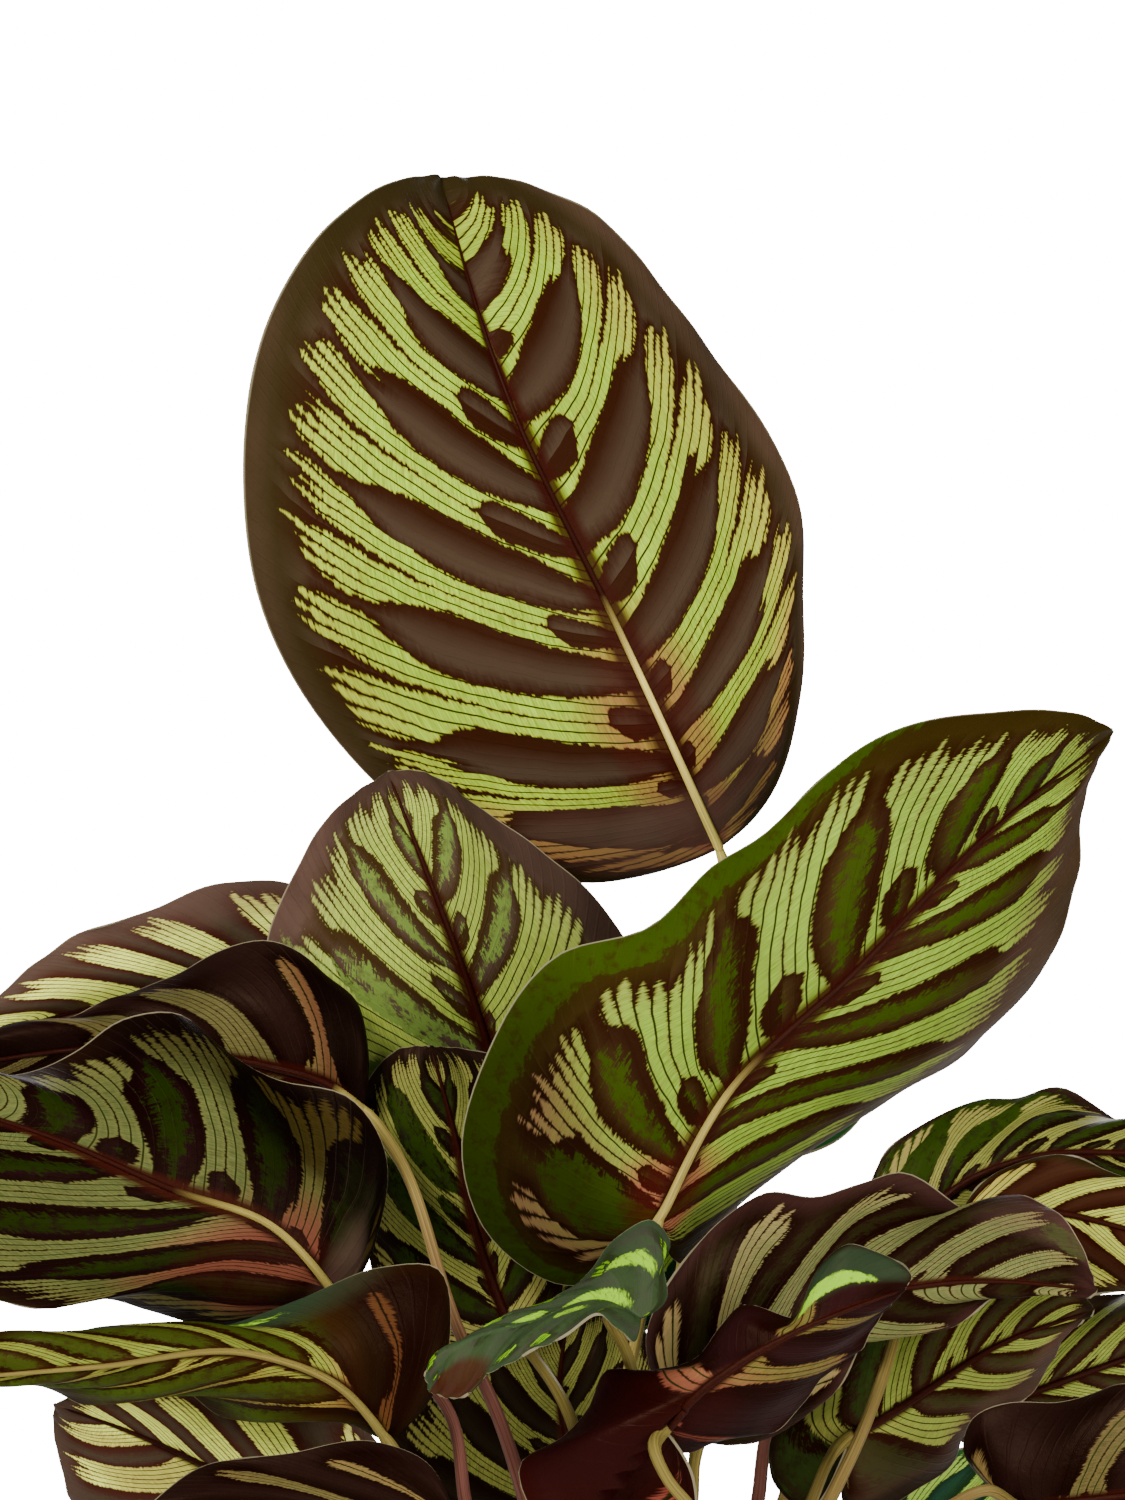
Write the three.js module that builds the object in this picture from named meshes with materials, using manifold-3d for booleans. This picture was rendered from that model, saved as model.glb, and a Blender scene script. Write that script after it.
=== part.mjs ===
// Potted peacock plant. Millimetres, +Z up, the origin at the centre of the pot's flat bottom.
// Every leaf is one blade and one stem. The blades that the photo shows are drawn through
// places read off the photo; the ones behind them fill out the back of the plant.
import * as THREE from 'three';
import Module from 'manifold-3d';

const wasm = await Module();
wasm.setup();

// How a place in the photo becomes a place in the part's frame: the eye stands level in front
// of the plant, and one pixel is PIXEL millimetres in the plane y = 0.
const EYE = { x: -5, distance: 1600, z: 440 };
const PHOTO_CENTRE = { across: 562.5, down: 750 };
const PIXEL = 0.3;

const POT = { height: 150, topRadius: 88, footRadius: 62, wall: 3, floor: 4, bandHeight: 22, bandDepth: 2.5 };
const POT_SIDES = 48;
const SOIL = { bottom: 4.3, edgeTop: 136, middleTop: 140, gap: 0.4 };
const HOLE = { bottom: 125.6, clearance: 0.5, sides: 10 };

const BLADE = { thickness: 0.8, ridge: 1.3, ridgeTip: 0.1, rows: 13 };
const COLUMNS = [-1, -0.6, -0.15, 0, 0.15, 0.6, 1];
const VEIN = { start: 1.6, fan: 1.9, bend: 0.16, arch: 1.3 };

const STEM = { foot: 3.2, top: 1.6, swelling: 0.5, sides: 6, rings: 9, footZ: 126, freeZ: 143, gap: 0.4 };

const COLOURS = { blade: 0x6f8f45, youngBlade: 0x2f5d4a, stem: 0x9a7a52, pot: 0x4a4d4c, soil: 0x3a2c22 };

// Each leaf: rib, left and right edge from the base to the tip, as [across, down] in photo
// pixels; "left" is the viewer's left with the tip up and the underside in view. The three
// depth lists give y in millimetres (negative is nearer the eye), spread along each curve.
// stem lists [across, down, y] from the blade down to the soil, and foot is [x, y] there.
// seat is the gap between the stem and the blade, where it isn't STEM.gap.
const FRONT_LEAVES = [
  {
    name: 'tall',
    rib: [[718, 848], [617, 628], [512, 410], [440, 178]],
    left: [[680, 864], [590, 884], [470, 848], [340, 745], [262, 610], [243, 470], [262, 335],
      [325, 228], [385, 187]],
    right: [[748, 822], [803, 690], [804, 600], [793, 495], [750, 400], [660, 290], [590, 212],
      [510, 176]],
    depths: [[20, 2, 4, 36], [20, 10, -10, -14, 8], [28, 30, 36, 34, 34]],
    bulge: [0.06, 0.06],
    wave: [2, 3, 0],
    stem: [[702, 1100, 16], [655, 1450, 18]],
    foot: [8, 16],
  },
  {
    name: 'right',
    rib: [[658, 1223], [724, 1096], [855, 970], [977, 843], [1113, 731]],
    left: [[632, 1262], [565, 1283], [490, 1236], [461, 1150], [488, 1048], [560, 955], [650, 928],
      [710, 866], [763, 834], [816, 782], [894, 731], [1000, 712], [1075, 713]],
    right: [[676, 1262], [711, 1232], [785, 1171], [886, 1096], [982, 1044], [1038, 970],
      [1073, 882], [1095, 777]],
    depths: [[-60, -54, -42, -25, 0], [-48, -62, -76, -70, -48, -40, -20], [-48, -30, -8, 10, 10, 4]],
    bulge: [0.1, 0.1],
    wave: [2, 3, 0],
    stem: [[651, 1262, -71], [638, 1330, -70], [612, 1440, -54]],
    seat: 1.4,
    foot: [4, -10],
  },
  {
    name: 'back_left',
    rib: [[505, 1105], [468, 985], [425, 870], [387, 772]],
    left: [[430, 1118], [345, 1085], [285, 1020], [266, 950], [290, 884], [330, 815]],
    right: [[570, 1110], [630, 1060], [645, 985], [605, 910], [540, 852], [480, 805], [436, 778]],
    depths: [[-12, -18, -22, -14], [-16, -22, -30, -24], [-10, -6, -4, -8]],
    bulge: [0.1, 0.1],
    wave: [2, 3, 0.3],
    stem: [[528, 1250, -4], [550, 1450, 2]],
    foot: [-8, 2],
    seat: 1.1,
  },
  {
    name: 'far_left',
    rib: [[390, 1000], [250, 985], [100, 1005], [-65, 1055]],
    left: [[350, 1060], [240, 1090], [120, 1092], [20, 1078]],
    right: [[345, 915], [291, 884], [230, 884], [161, 903], [100, 926], [40, 962], [-20, 1010]],
    depths: [[16, 14, 8, 0], [22, 26, 20, 8], [12, 4, 0, 0]],
    bulge: [0.1, 0.1],
    wave: [2, 3, 0.6],
    stem: [[430, 1150, 22], [490, 1450, 20]],
    foot: [-22, 14],
  },
  {
    name: 'left_fold',
    rib: [[362, 1108], [330, 1085], [255, 1063], [120, 1048], [-60, 1070]],
    left: [[330, 1160], [180, 1160], [60, 1120]],
    right: [[367, 1049], [358, 1000], [320, 972], [262, 942], [215, 952], [172, 976], [130, 995],
      [77, 1018], [0, 1025]],
    depths: [[-42, -46, -46, -46, -44], [-30, -14, -12, -30], [-40, -36, -34, -38]],
    bulge: [0.1, 0.15],
    wave: [2, 3, 0.2],
    stem: [[390, 1144, -50], [465, 1345, -72], [487, 1390, -74], [525, 1500, -62]],
    foot: [-6, -24],
    seat: 0.6,
  },
  {
    name: 'left_front',
    rib: [[337, 1297], [268, 1225], [172, 1190], [57, 1140], [-130, 1085]],
    left: [[315, 1304], [240, 1322], [199, 1324], [150, 1311], [110, 1298], [31, 1307], [-50, 1280],
      [-115, 1210], [-145, 1130]],
    right: [[358, 1278], [383, 1215], [382, 1150], [345, 1098], [285, 1079], [230, 1052],
      [172, 1018], [125, 1020], [77, 1050], [20, 1073], [-60, 1070]],
    depths: [[-76, -84, -92, -98, -104], [-78, -88, -98, -106], [-70, -62, -58, -68, -90]],
    bulge: [0.1, 0.1],
    wave: [2, 3, 0.5],
    stem: [[395, 1352, -78], [448, 1410, -82], [465, 1500, -82]],
    foot: [-22, -44],
  },
  {
    name: 'low_left',
    rib: [[388, 1440], [339, 1386], [250, 1354], [100, 1366], [-80, 1380]],
    left: [[375, 1434], [314, 1407], [268, 1413], [225, 1416], [180, 1390], [139, 1386], [86, 1402],
      [40, 1385], [0, 1377]],
    right: [[425, 1405], [450, 1330], [440, 1270], [380, 1268], [300, 1300], [235, 1322],
      [154, 1326], [71, 1336], [0, 1332]],
    depths: [[-104, -108, -110, -112, -110], [-100, -90, -90, -100], [-102, -96, -92, -94, -102]],
    bulge: [0.1, 0.1],
    wave: [1, 3, 0],
    stem: [[411, 1486, -102], [445, 1600, -80]],
    foot: [-36, -44],
  },
  {
    name: 'low_far',
    rib: [[380, 1570], [200, 1462], [143, 1436], [54, 1404]],
    left: [[300, 1615], [200, 1605], [110, 1565], [72, 1500], [62, 1462], [53, 1430]],
    right: [[400, 1495], [352, 1415], [260, 1392], [150, 1386]],
    depths: [[-60, -74, -80, -84], [-52, -60, -74], [-66, -76, -82]],
    bulge: [0.1, 0.1],
    wave: [2, 3, 0.4],
    stem: [[430, 1650, -46]],
    foot: [-42, -20],
  },
  {
    name: 'low_dark',
    rib: [[455, 1520], [350, 1520], [230, 1552], [90, 1640]],
    left: [[400, 1590], [300, 1650], [200, 1690], [120, 1680]],
    right: [[425, 1462], [379, 1443], [286, 1454], [200, 1468], [150, 1505], [95, 1570]],
    depths: [[-112, -116, -122, -128], [-110, -116, -126], [-112, -116, -124]],
    bulge: [0.1, 0.1],
    wave: [2, 3, 0.1],
    stem: [[476, 1580, -100]],
    foot: [-28, -56],
  },
  {
    name: 'centre',
    rib: [[512, 1335], [475, 1228], [456, 1140], [430, 1046]],
    left: [[430, 1345], [376, 1275], [358, 1190], [356, 1112], [374, 1070], [400, 1049]],
    right: [[565, 1310], [580, 1220], [560, 1130], [520, 1070], [471, 1050]],
    depths: [[-34, -36, -38, -36], [-28, -26, -32], [-24, -20, -26]],
    bulge: [0.1, 0.1],
    wave: [2, 3, 0.8],
    stem: [[532, 1355, -56], [573, 1425, -88], [598, 1540, -80]],
    foot: [0, -44],
  },
  {
    name: 'shade',
    rib: [[600, 1560], [575, 1470], [560, 1390], [570, 1310]],
    left: [[400, 1560], [384, 1480], [402, 1400], [490, 1330]],
    right: [[640, 1545], [668, 1450], [660, 1360], [620, 1310]],
    depths: [[-14, -20, -22, -22], [-10, -12, -18], [-10, -12, -18]],
    bulge: [0.1, 0.1],
    wave: [2, 3, 0.1],
    stem: [[598, 1640, -12]],
    foot: [4, 4],
  },
  {
    name: 'young',
    rib: [[640, 1318], [600, 1300], [540, 1320], [452, 1352], [430, 1392]],
    left: [[665, 1300], [662, 1262], [669, 1243], [653, 1222], [617, 1238], [590, 1272],
      [552, 1302], [500, 1320], [450, 1350], [425, 1370]],
    right: [[633, 1342], [618, 1326], [596, 1316], [565, 1336], [528, 1352], [490, 1372],
      [460, 1398]],
    depths: [[-128, -130, -133, -136, -136], [-116, -112, -122, -132], [-134, -140, -142, -140]],
    bulge: [-0.1, -0.1],
    wave: [1, 2, 0],
    stem: [[632, 1372, -92]],
    stemTop: [605, 1313.8, -131],
    foot: [8, -52],
  },
  {
    name: 'maroon',
    rib: [[663, 1428], [700, 1392], [770, 1345], [850, 1308], [905, 1288]],
    left: [[694, 1480], [690, 1540], [605, 1562], [540, 1520], [520, 1465], [560, 1438],
      [585, 1408], [605, 1373], [650, 1375], [700, 1360], [722, 1325], [738, 1306], [800, 1314],
      [825, 1262], [850, 1246], [885, 1258], [910, 1276]],
    right: [[682, 1450], [712, 1447], [754, 1432], [795, 1411], [836, 1367], [868, 1330],
      [895, 1305]],
    depths: [[-114, -118, -120, -120, -116], [-104, -100, -98, -104, -112, -116], [-102, -96, -98, -106]],
    bulge: [0.08, 0.1],
    wave: [2, 3, 0],
    stem: [[655, 1452, -125], [668, 1480, -128], [692, 1510, -126], [676, 1600, -112]],
    foot: [20, -44],
    seat: 1.0,
  },
  {
    name: 'wavy',
    rib: [[700, 1440], [745, 1375], [830, 1310], [940, 1284], [1097, 1290]],
    left: [[662, 1400], [648, 1335], [684, 1262], [716, 1221], [760, 1193], [836, 1201],
      [872, 1186], [901, 1173], [971, 1203], [1010, 1199], [1052, 1218], [1085, 1259]],
    right: [[770, 1440], [830, 1390], [880, 1330], [950, 1320], [985, 1302], [1040, 1292]],
    depths: [[-70, -76, -82, -84, -80], [-74, -70, -66, -62, -70], [-72, -74, -78, -80]],
    bulge: [0.1, 0.1],
    wave: [4, 3, 0.2],
    stem: [[693, 1500, -66]],
    foot: [22, -30],
  },
  {
    name: 'high_right',
    rib: [[905, 1240], [957, 1188], [1025, 1159], [1125, 1153], [1225, 1168]],
    left: [[868, 1205], [879, 1167], [925, 1122], [975, 1098], [1020, 1104], [1070, 1092],
      [1130, 1120], [1190, 1132]],
    right: [[950, 1235], [1020, 1222], [1100, 1212], [1180, 1198]],
    depths: [[-32, -32, -34, -34, -32], [-26, -20, -16, -22], [-26, -22, -18, -22]],
    bulge: [0.1, 0.1],
    wave: [3, 3, 0.2],
    stem: [[896, 1330, -62], [863, 1430, -78], [830, 1500, -78]],
    foot: [34, -30],
  },
  {
    name: 'mid_right',
    rib: [[960, 1225], [1052, 1213], [1125, 1229], [1240, 1264]],
    left: [[975, 1190], [1030, 1160], [1110, 1168], [1190, 1205]],
    right: [[990, 1275], [1060, 1300], [1097, 1293], [1140, 1292], [1200, 1290]],
    depths: [[-44, -48, -50, -48], [-44, -42, -44], [-46, -50, -50]],
    bulge: [0.1, 0.1],
    wave: [3, 3, 0.7],
    stem: [[875, 1310, -20], [768, 1430, -12], [758, 1500, -10]],
    foot: [36, 6],
  },
  {
    name: 'low_right',
    rib: [[850, 1440], [917, 1397], [993, 1348], [1094, 1310]],
    left: [[800, 1512], [776, 1484], [771, 1430], [800, 1400], [850, 1345], [900, 1300],
      [960, 1275], [1020, 1268], [1070, 1280]],
    right: [[850, 1512], [903, 1490], [957, 1465], [966, 1432], [995, 1408], [1033, 1394],
      [1055, 1360], [1071, 1325]],
    depths: [[-58, -60, -62, -62], [-38, -40, -46, -54], [-42, -50, -58]],
    bulge: [0.1, 0.1],
    wave: [3, 3, 0.3],
    stem: [[828, 1462, -70], [812, 1500, -66]],
    seat: 2.8,
    foot: [38, -14],
  },
  {
    name: 'corner',
    rib: [[1025, 1508], [1090, 1500], [1180, 1492], [1290, 1500]],
    left: [[990, 1488], [962, 1450], [976, 1421], [1010, 1404], [1052, 1402], [1125, 1386],
      [1200, 1398], [1260, 1440]],
    right: [[1000, 1560], [1050, 1605], [1130, 1612], [1220, 1585]],
    depths: [[-98, -108, -116, -124], [-84, -86, -96, -112], [-92, -104, -116]],
    bulge: [0.1, 0.1],
    wave: [3, 3, 0],
    stem: [[985, 1490, -110], [940, 1512, -104], [850, 1600, -76]],
    seat: 3.2,
    foot: [44, -38],
  },
  {
    name: 'far_right',
    rib: [[940, 1425], [1040, 1390], [1150, 1352], [1275, 1335]],
    left: [[945, 1380], [1000, 1330], [1080, 1300], [1170, 1285], [1240, 1300]],
    right: [[980, 1450], [1060, 1445], [1160, 1420], [1230, 1385]],
    depths: [[-30, -30, -24, -10], [-26, -16, -8], [-30, -26, -16]],
    bulge: [0.1, 0.1],
    wave: [3, 3, 0.5],
    stem: [[850, 1600, -16]],
    foot: [46, -4],
  },
];

// The leaves that the photo can't show. They stand behind the others as seen from the eye,
// lean back and turn their undersides away. base and tip are [across, down, y].
const BACK_LEAVES = [
  { name: 'rear_top', base: [560, 790, 52], tip: [470, 380, 110], half: 120, bow: -14,
    stem: [[535, 960, 28], [590, 1400, 30]], foot: [-2, 30] },
  { name: 'rear_right', base: [730, 1150, 46], tip: [960, 830, 100], half: 85, bow: -12,
    stem: [[690, 1350, 38]], foot: [24, 26] },
  { name: 'rear_left', base: [330, 1190, 50], tip: [60, 1040, 105], half: 75, bow: -14,
    stem: [[430, 1370, 46]], foot: [-34, 28] },
  { name: 'rear_middle', base: [500, 1120, 48], tip: [390, 860, 96], half: 80, bow: -10,
    stem: [[520, 1350, 38]], foot: [-14, 34] },
  { name: 'rear_low_right', base: [850, 1340, 40], tip: [1040, 1210, 120], half: 70, bow: -10,
    stem: [[790, 1480, 34]], foot: [44, 18] },
  { name: 'rear_low', base: [640, 1330, 60], tip: [600, 1050, 140], half: 105, bow: -12,
    stem: [[620, 1500, 50]], foot: [12, 42] },
  { name: 'rear_low_left', base: [360, 1500, 60], tip: [130, 1470, 120], half: 66, bow: -12,
    stem: [[430, 1640, 46]], foot: [-30, 44], seat: 0.8 },
  { name: 'rear_corner', base: [880, 1560, 60], tip: [1120, 1470, 120], half: 74, bow: -12,
    stem: [[790, 1660, 48]], foot: [36, 40], seat: 0.6 },
];
const OVAL_STATIONS = [[0.03, 0.45], [0.16, 0.9], [0.4, 1], [0.64, 0.86], [0.86, 0.52]];
const OVAL_CUP = 14;

function place(across, down, y) {
  const spread = PIXEL * (EYE.distance + y) / EYE.distance;
  return new THREE.Vector3(
    EYE.x + (across - PHOTO_CENTRE.across) * spread,
    y,
    EYE.z + (PHOTO_CENTRE.down - down) * spread,
  );
}

function listAt(list, u) {
  const x = u * (list.length - 1);
  const i = Math.min(Math.floor(x), list.length - 2);
  return list[i] + (list[i + 1] - list[i]) * (x - i);
}

function placeAll(points, depths) {
  return points.map(([across, down], i) => place(across, down, listAt(depths, i / (points.length - 1))));
}

// A smooth curve through points, run by length along them: u = 0 at the first, 1 at the last.
function curveThrough(points) {
  const knots = [0];
  for (let i = 1; i < points.length; i += 1) {
    knots.push(knots[i - 1] + points[i].distanceTo(points[i - 1]));
  }
  const total = knots[knots.length - 1];
  const u = knots.map((k) => k / total);
  const last = points.length - 1;
  const slopes = points.slice(1).map((p, i) => p.clone().sub(points[i]).divideScalar(u[i + 1] - u[i]));
  const tangents = points.map((p, i) => {
    if (i === 0 || i === last) {
      return null;
    }
    const before = u[i] - u[i - 1];
    const after = u[i + 1] - u[i];
    const sum = slopes[i - 1].clone().multiplyScalar(after).addScaledVector(slopes[i], before);
    return sum.divideScalar(before + after);
  });
  tangents[0] = slopes[0].clone();
  tangents[last] = slopes[last - 1].clone();
  if (last > 1) {
    tangents[0].multiplyScalar(1.5).addScaledVector(tangents[1], -0.5);
    tangents[last].multiplyScalar(1.5).addScaledVector(tangents[last - 1], -0.5);
  }
  return (at) => {
    const x = Math.min(1, Math.max(0, at));
    let i = 0;
    while (i < last - 1 && x >= u[i + 1]) {
      i += 1;
    }
    const h = u[i + 1] - u[i];
    const f = (x - u[i]) / h;
    const point = points[i].clone().multiplyScalar(2 * f ** 3 - 3 * f ** 2 + 1);
    point.addScaledVector(tangents[i], h * (f ** 3 - 2 * f ** 2 + f));
    point.addScaledVector(points[i + 1], 3 * f ** 2 - 2 * f ** 3);
    return point.addScaledVector(tangents[i + 1], h * (f ** 3 - f ** 2));
  };
}

function frontCurves(leaf) {
  const base = leaf.rib[0];
  const tip = leaf.rib[leaf.rib.length - 1];
  const [ribDepths, leftDepths, rightDepths] = leaf.depths;
  const ends = [ribDepths[0], ribDepths[ribDepths.length - 1]];
  const edge = (points, depths) => placeAll([base, ...points, tip], [ends[0], ...depths, ends[1]]);
  return {
    rib: curveThrough(placeAll(leaf.rib, ribDepths)),
    left: curveThrough(edge(leaf.left, leftDepths)),
    right: curveThrough(edge(leaf.right, rightDepths)),
  };
}

function backCurves(leaf) {
  const [bx, by, by0] = leaf.base;
  const [tx, ty, ty0] = leaf.tip;
  const length = Math.hypot(tx - bx, ty - by);
  const side = [-(ty - by) / length, (tx - bx) / length];
  const along = (u, off, lift) => place(
    bx + (tx - bx) * u + side[0] * off,
    by + (ty - by) * u + side[1] * off,
    by0 + (ty0 - by0) * u + leaf.bow * 4 * u * (1 - u) + lift,
  );
  const edge = (sign) => [
    along(0, 0, 0),
    ...OVAL_STATIONS.map(([u, part]) => along(u, sign * part * leaf.half, -OVAL_CUP * part)),
    along(1, 0, 0),
  ];
  return {
    rib: curveThrough([0, 0.33, 0.67, 1].map((u) => along(u, 0, 0))),
    left: curveThrough(edge(1)),
    right: curveThrough(edge(-1)),
  };
}

// The middle of the blade at v (0 at the base, 1 at the tip) along a side vein that leaves the
// rib there, and t across (-1 at the left edge, 1 at the right), with the underside's normal.
function bladePoint(curves, leaf, v, t) {
  const tau = Math.abs(t);
  const sign = t < 0 ? -1 : 1;
  const start = v ** VEIN.start;
  const end = 1 - (1 - v) ** VEIN.fan;
  const aim = end - VEIN.bend * (1 - tau) * 4 * v * (1 - v);
  const rib = curves.rib(start);
  const across = (t < 0 ? curves.left : curves.right)(aim).sub(rib);
  const along = curves.rib(start + 0.02).sub(curves.rib(start - 0.02)).normalize();
  const normal = across.clone().multiplyScalar(sign).cross(along).normalize();
  const width = across.length();
  const part = 1 - (1 - tau) ** VEIN.arch;
  const bulge = leaf.bulge[t < 0 ? 0 : 1] * width * 4 * part * (1 - part);
  const [height, count, phase] = leaf.wave;
  const turn = count * end + phase + (t < 0 ? 0.37 : 0);
  const wave = height * tau ** 2 * Math.min(1, width / 25) * Math.sin(2 * Math.PI * turn);
  const point = rib.addScaledVector(across, part).addScaledVector(normal, bulge + wave);
  return { point, normal };
}

// Normals at the ends and on the rib come from places just inside the blade.
function bladeNormal(curves, leaf, v, t) {
  const inside = Math.min(0.97, Math.max(0.05, v));
  const left = bladePoint(curves, leaf, inside, Math.min(t, -0.05)).normal;
  const right = bladePoint(curves, leaf, inside, Math.max(t, 0.05)).normal;
  if (Math.abs(t) > 0.05) {
    return t < 0 ? left : right;
  }
  return left.add(right).normalize();
}

function toGeometry(points, triangles) {
  const geometry = new THREE.BufferGeometry();
  const places = points.flatMap((p) => [p.x, p.y, p.z]);
  geometry.setAttribute('position', new THREE.Float32BufferAttribute(places, 3));
  geometry.setIndex(triangles);
  geometry.computeVertexNormals();
  return geometry;
}

// A thin closed blade: the underside and the upper side meet in a rim, and both end in a point.
function bladeGeometry(curves, leaf) {
  const points = [];
  const grid = [];
  for (let row = 0; row <= BLADE.rows; row += 1) {
    const v = (1 - Math.cos(Math.PI * row / BLADE.rows)) / 2;
    const pole = row === 0 || row === BLADE.rows;
    grid.push(COLUMNS.map((t, column) => {
      if (pole && column > 0) {
        return null;
      }
      const where = pole ? 0 : t;
      const { point } = bladePoint(curves, leaf, v, where === 0 ? 1e-6 : where);
      const normal = bladeNormal(curves, leaf, v, where);
      const ridge = where === 0 ? BLADE.ridge * (1 - v) + BLADE.ridgeTip : 0;
      points.push(point.clone().addScaledVector(normal, BLADE.thickness / 2 + ridge));
      points.push(point.clone().addScaledVector(normal, -BLADE.thickness / 2));
      return points.length - 2;
    }));
  }
  const triangles = [];
  const index = (row, column) => grid[row][column] ?? grid[row][0];
  const add = (a, b, c) => {
    if (a !== b && b !== c && c !== a) {
      triangles.push(a, b, c);
    }
  };
  const width = COLUMNS.length - 1;
  for (let row = 0; row < BLADE.rows; row += 1) {
    for (let column = 0; column < width; column += 1) {
      const corners = [[row, column], [row, column + 1], [row + 1, column + 1], [row + 1, column]];
      const [a, b, c, d] = corners.map(([i, j]) => index(i, j));
      add(a, b, c);
      add(a, c, d);
      add(a + 1, c + 1, b + 1);
      add(a + 1, d + 1, c + 1);
    }
    const [a, d] = [index(row, 0), index(row + 1, 0)];
    add(a, d, d + 1);
    add(a, d + 1, a + 1);
    const [b, c] = [index(row, width), index(row + 1, width)];
    add(b, c + 1, c);
    add(b, b + 1, c + 1);
  }
  return toGeometry(points, triangles);
}

// A stem stands upright in its hole, then bends to the blade, where it swells a little.
function stemGeometry(curves, leaf) {
  const base = curves.rib(0);
  const normal = bladeNormal(curves, leaf, 0, 0);
  const along = curves.rib(0.03).sub(base).normalize();
  const way = [new THREE.Vector3(leaf.foot[0], leaf.foot[1], STEM.freeZ)];
  way.push(...leaf.stem.map(([across, down, y]) => place(across, down, y)).reverse());
  const arrival = base.clone().sub(way[way.length - 1]).normalize();
  const reach = (leaf.seat ?? STEM.gap) + STEM.top * Math.sqrt(1 - Math.min(1, arrival.dot(along) ** 2));
  way.push(leaf.stemTop
    ? place(...leaf.stemTop)
    : base.addScaledVector(normal, BLADE.ridge / 2).addScaledVector(along, -reach));
  const path = curveThrough(way);
  const rings = [new THREE.Vector3(leaf.foot[0], leaf.foot[1], STEM.footZ)];
  const parts = [0];
  for (let i = 0; i < STEM.rings; i += 1) {
    const u = i / (STEM.rings - 1);
    rings.push(path(u));
    parts.push(u);
  }
  const points = [];
  let across = new THREE.Vector3(1, 0, 0);
  rings.forEach((centre, i) => {
    const before = rings[Math.max(0, i - 1)];
    const after = rings[Math.min(rings.length - 1, i + 1)];
    const ahead = i === 1 ? new THREE.Vector3(0, 0, 1) : after.clone().sub(before).normalize();
    across = across.addScaledVector(ahead, -across.dot(ahead)).normalize();
    const other = ahead.clone().cross(across);
    const swelling = STEM.swelling * Math.max(0, 1 - Math.abs(parts[i] - 0.9) / 0.12);
    const radius = STEM.top + (STEM.foot - STEM.top) * (1 - parts[i]) ** 2 + swelling;
    for (let k = 0; k < STEM.sides; k += 1) {
      const turn = 2 * Math.PI * k / STEM.sides;
      const spoke = across.clone().multiplyScalar(Math.cos(turn)).addScaledVector(other, Math.sin(turn));
      points.push(centre.clone().addScaledVector(spoke, radius));
    }
  });
  const triangles = [];
  const last = (rings.length - 1) * STEM.sides;
  for (let k = 0; k < STEM.sides; k += 1) {
    const next = (k + 1) % STEM.sides;
    for (let i = 0; i < rings.length - 1; i += 1) {
      const low = i * STEM.sides;
      const high = low + STEM.sides;
      triangles.push(low + k, low + next, high + next, low + k, high + next, high + k);
    }
    if (k > 0 && k < STEM.sides - 1) {
      triangles.push(0, k + 1, k);
      triangles.push(last, last + k, last + k + 1);
    }
  }
  return toGeometry(points, triangles);
}

// A closed profile of [radius, z] turned about the z axis; radius 0 is on the axis.
function turned(profile, sides) {
  const points = [];
  const rows = profile.map(([radius, z]) => {
    const count = radius === 0 ? 1 : sides;
    const first = points.length;
    for (let k = 0; k < count; k += 1) {
      const turn = 2 * Math.PI * k / sides;
      points.push(new THREE.Vector3(radius * Math.cos(turn), radius * Math.sin(turn), z));
    }
    return { first, count };
  });
  const triangles = [];
  for (let i = 0; i < rows.length - 1; i += 1) {
    const [low, high] = [rows[i], rows[i + 1]];
    for (let k = 0; k < sides; k += 1) {
      const next = (k + 1) % sides;
      const at = (row, step) => row.first + (row.count === 1 ? 0 : step);
      if (low.count > 1) {
        triangles.push(at(low, k), at(low, next), at(high, k));
      }
      if (high.count > 1) {
        triangles.push(at(low, next), at(high, next), at(high, k));
      }
    }
  }
  return toGeometry(points, triangles);
}

function potRadius(z) {
  return POT.footRadius + (POT.topRadius - POT.bandDepth - POT.footRadius) * z / POT.height;
}

function potGeometry() {
  const bandFoot = POT.height - POT.bandHeight;
  const inside = (z) => potRadius(z) - POT.wall;
  return turned([
    [0, 0],
    [potRadius(0) - 1.5, 0],
    [potRadius(0), 1.5],
    [potRadius(bandFoot), bandFoot],
    [potRadius(bandFoot) + POT.bandDepth, bandFoot + 1],
    [POT.topRadius - 0.6, POT.height - 1],
    [POT.topRadius - 1.4, POT.height],
    [inside(POT.height) + 0.8, POT.height],
    [inside(POT.height), POT.height - 1],
    [inside(POT.floor), POT.floor],
    [0, POT.floor],
  ], POT_SIDES);
}

function toSolid(geometry) {
  return new wasm.Manifold(new wasm.Mesh({
    numProp: 3,
    vertProperties: new Float32Array(geometry.getAttribute('position').array),
    triVerts: new Uint32Array(geometry.getIndex().array),
  }));
}

function fromSolid(solid) {
  const mesh = solid.getMesh();
  const points = [];
  for (let i = 0; i < mesh.vertProperties.length; i += mesh.numProp) {
    points.push(new THREE.Vector3(...mesh.vertProperties.slice(i, i + 3)));
  }
  return toGeometry(points, [...mesh.triVerts]);
}

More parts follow.
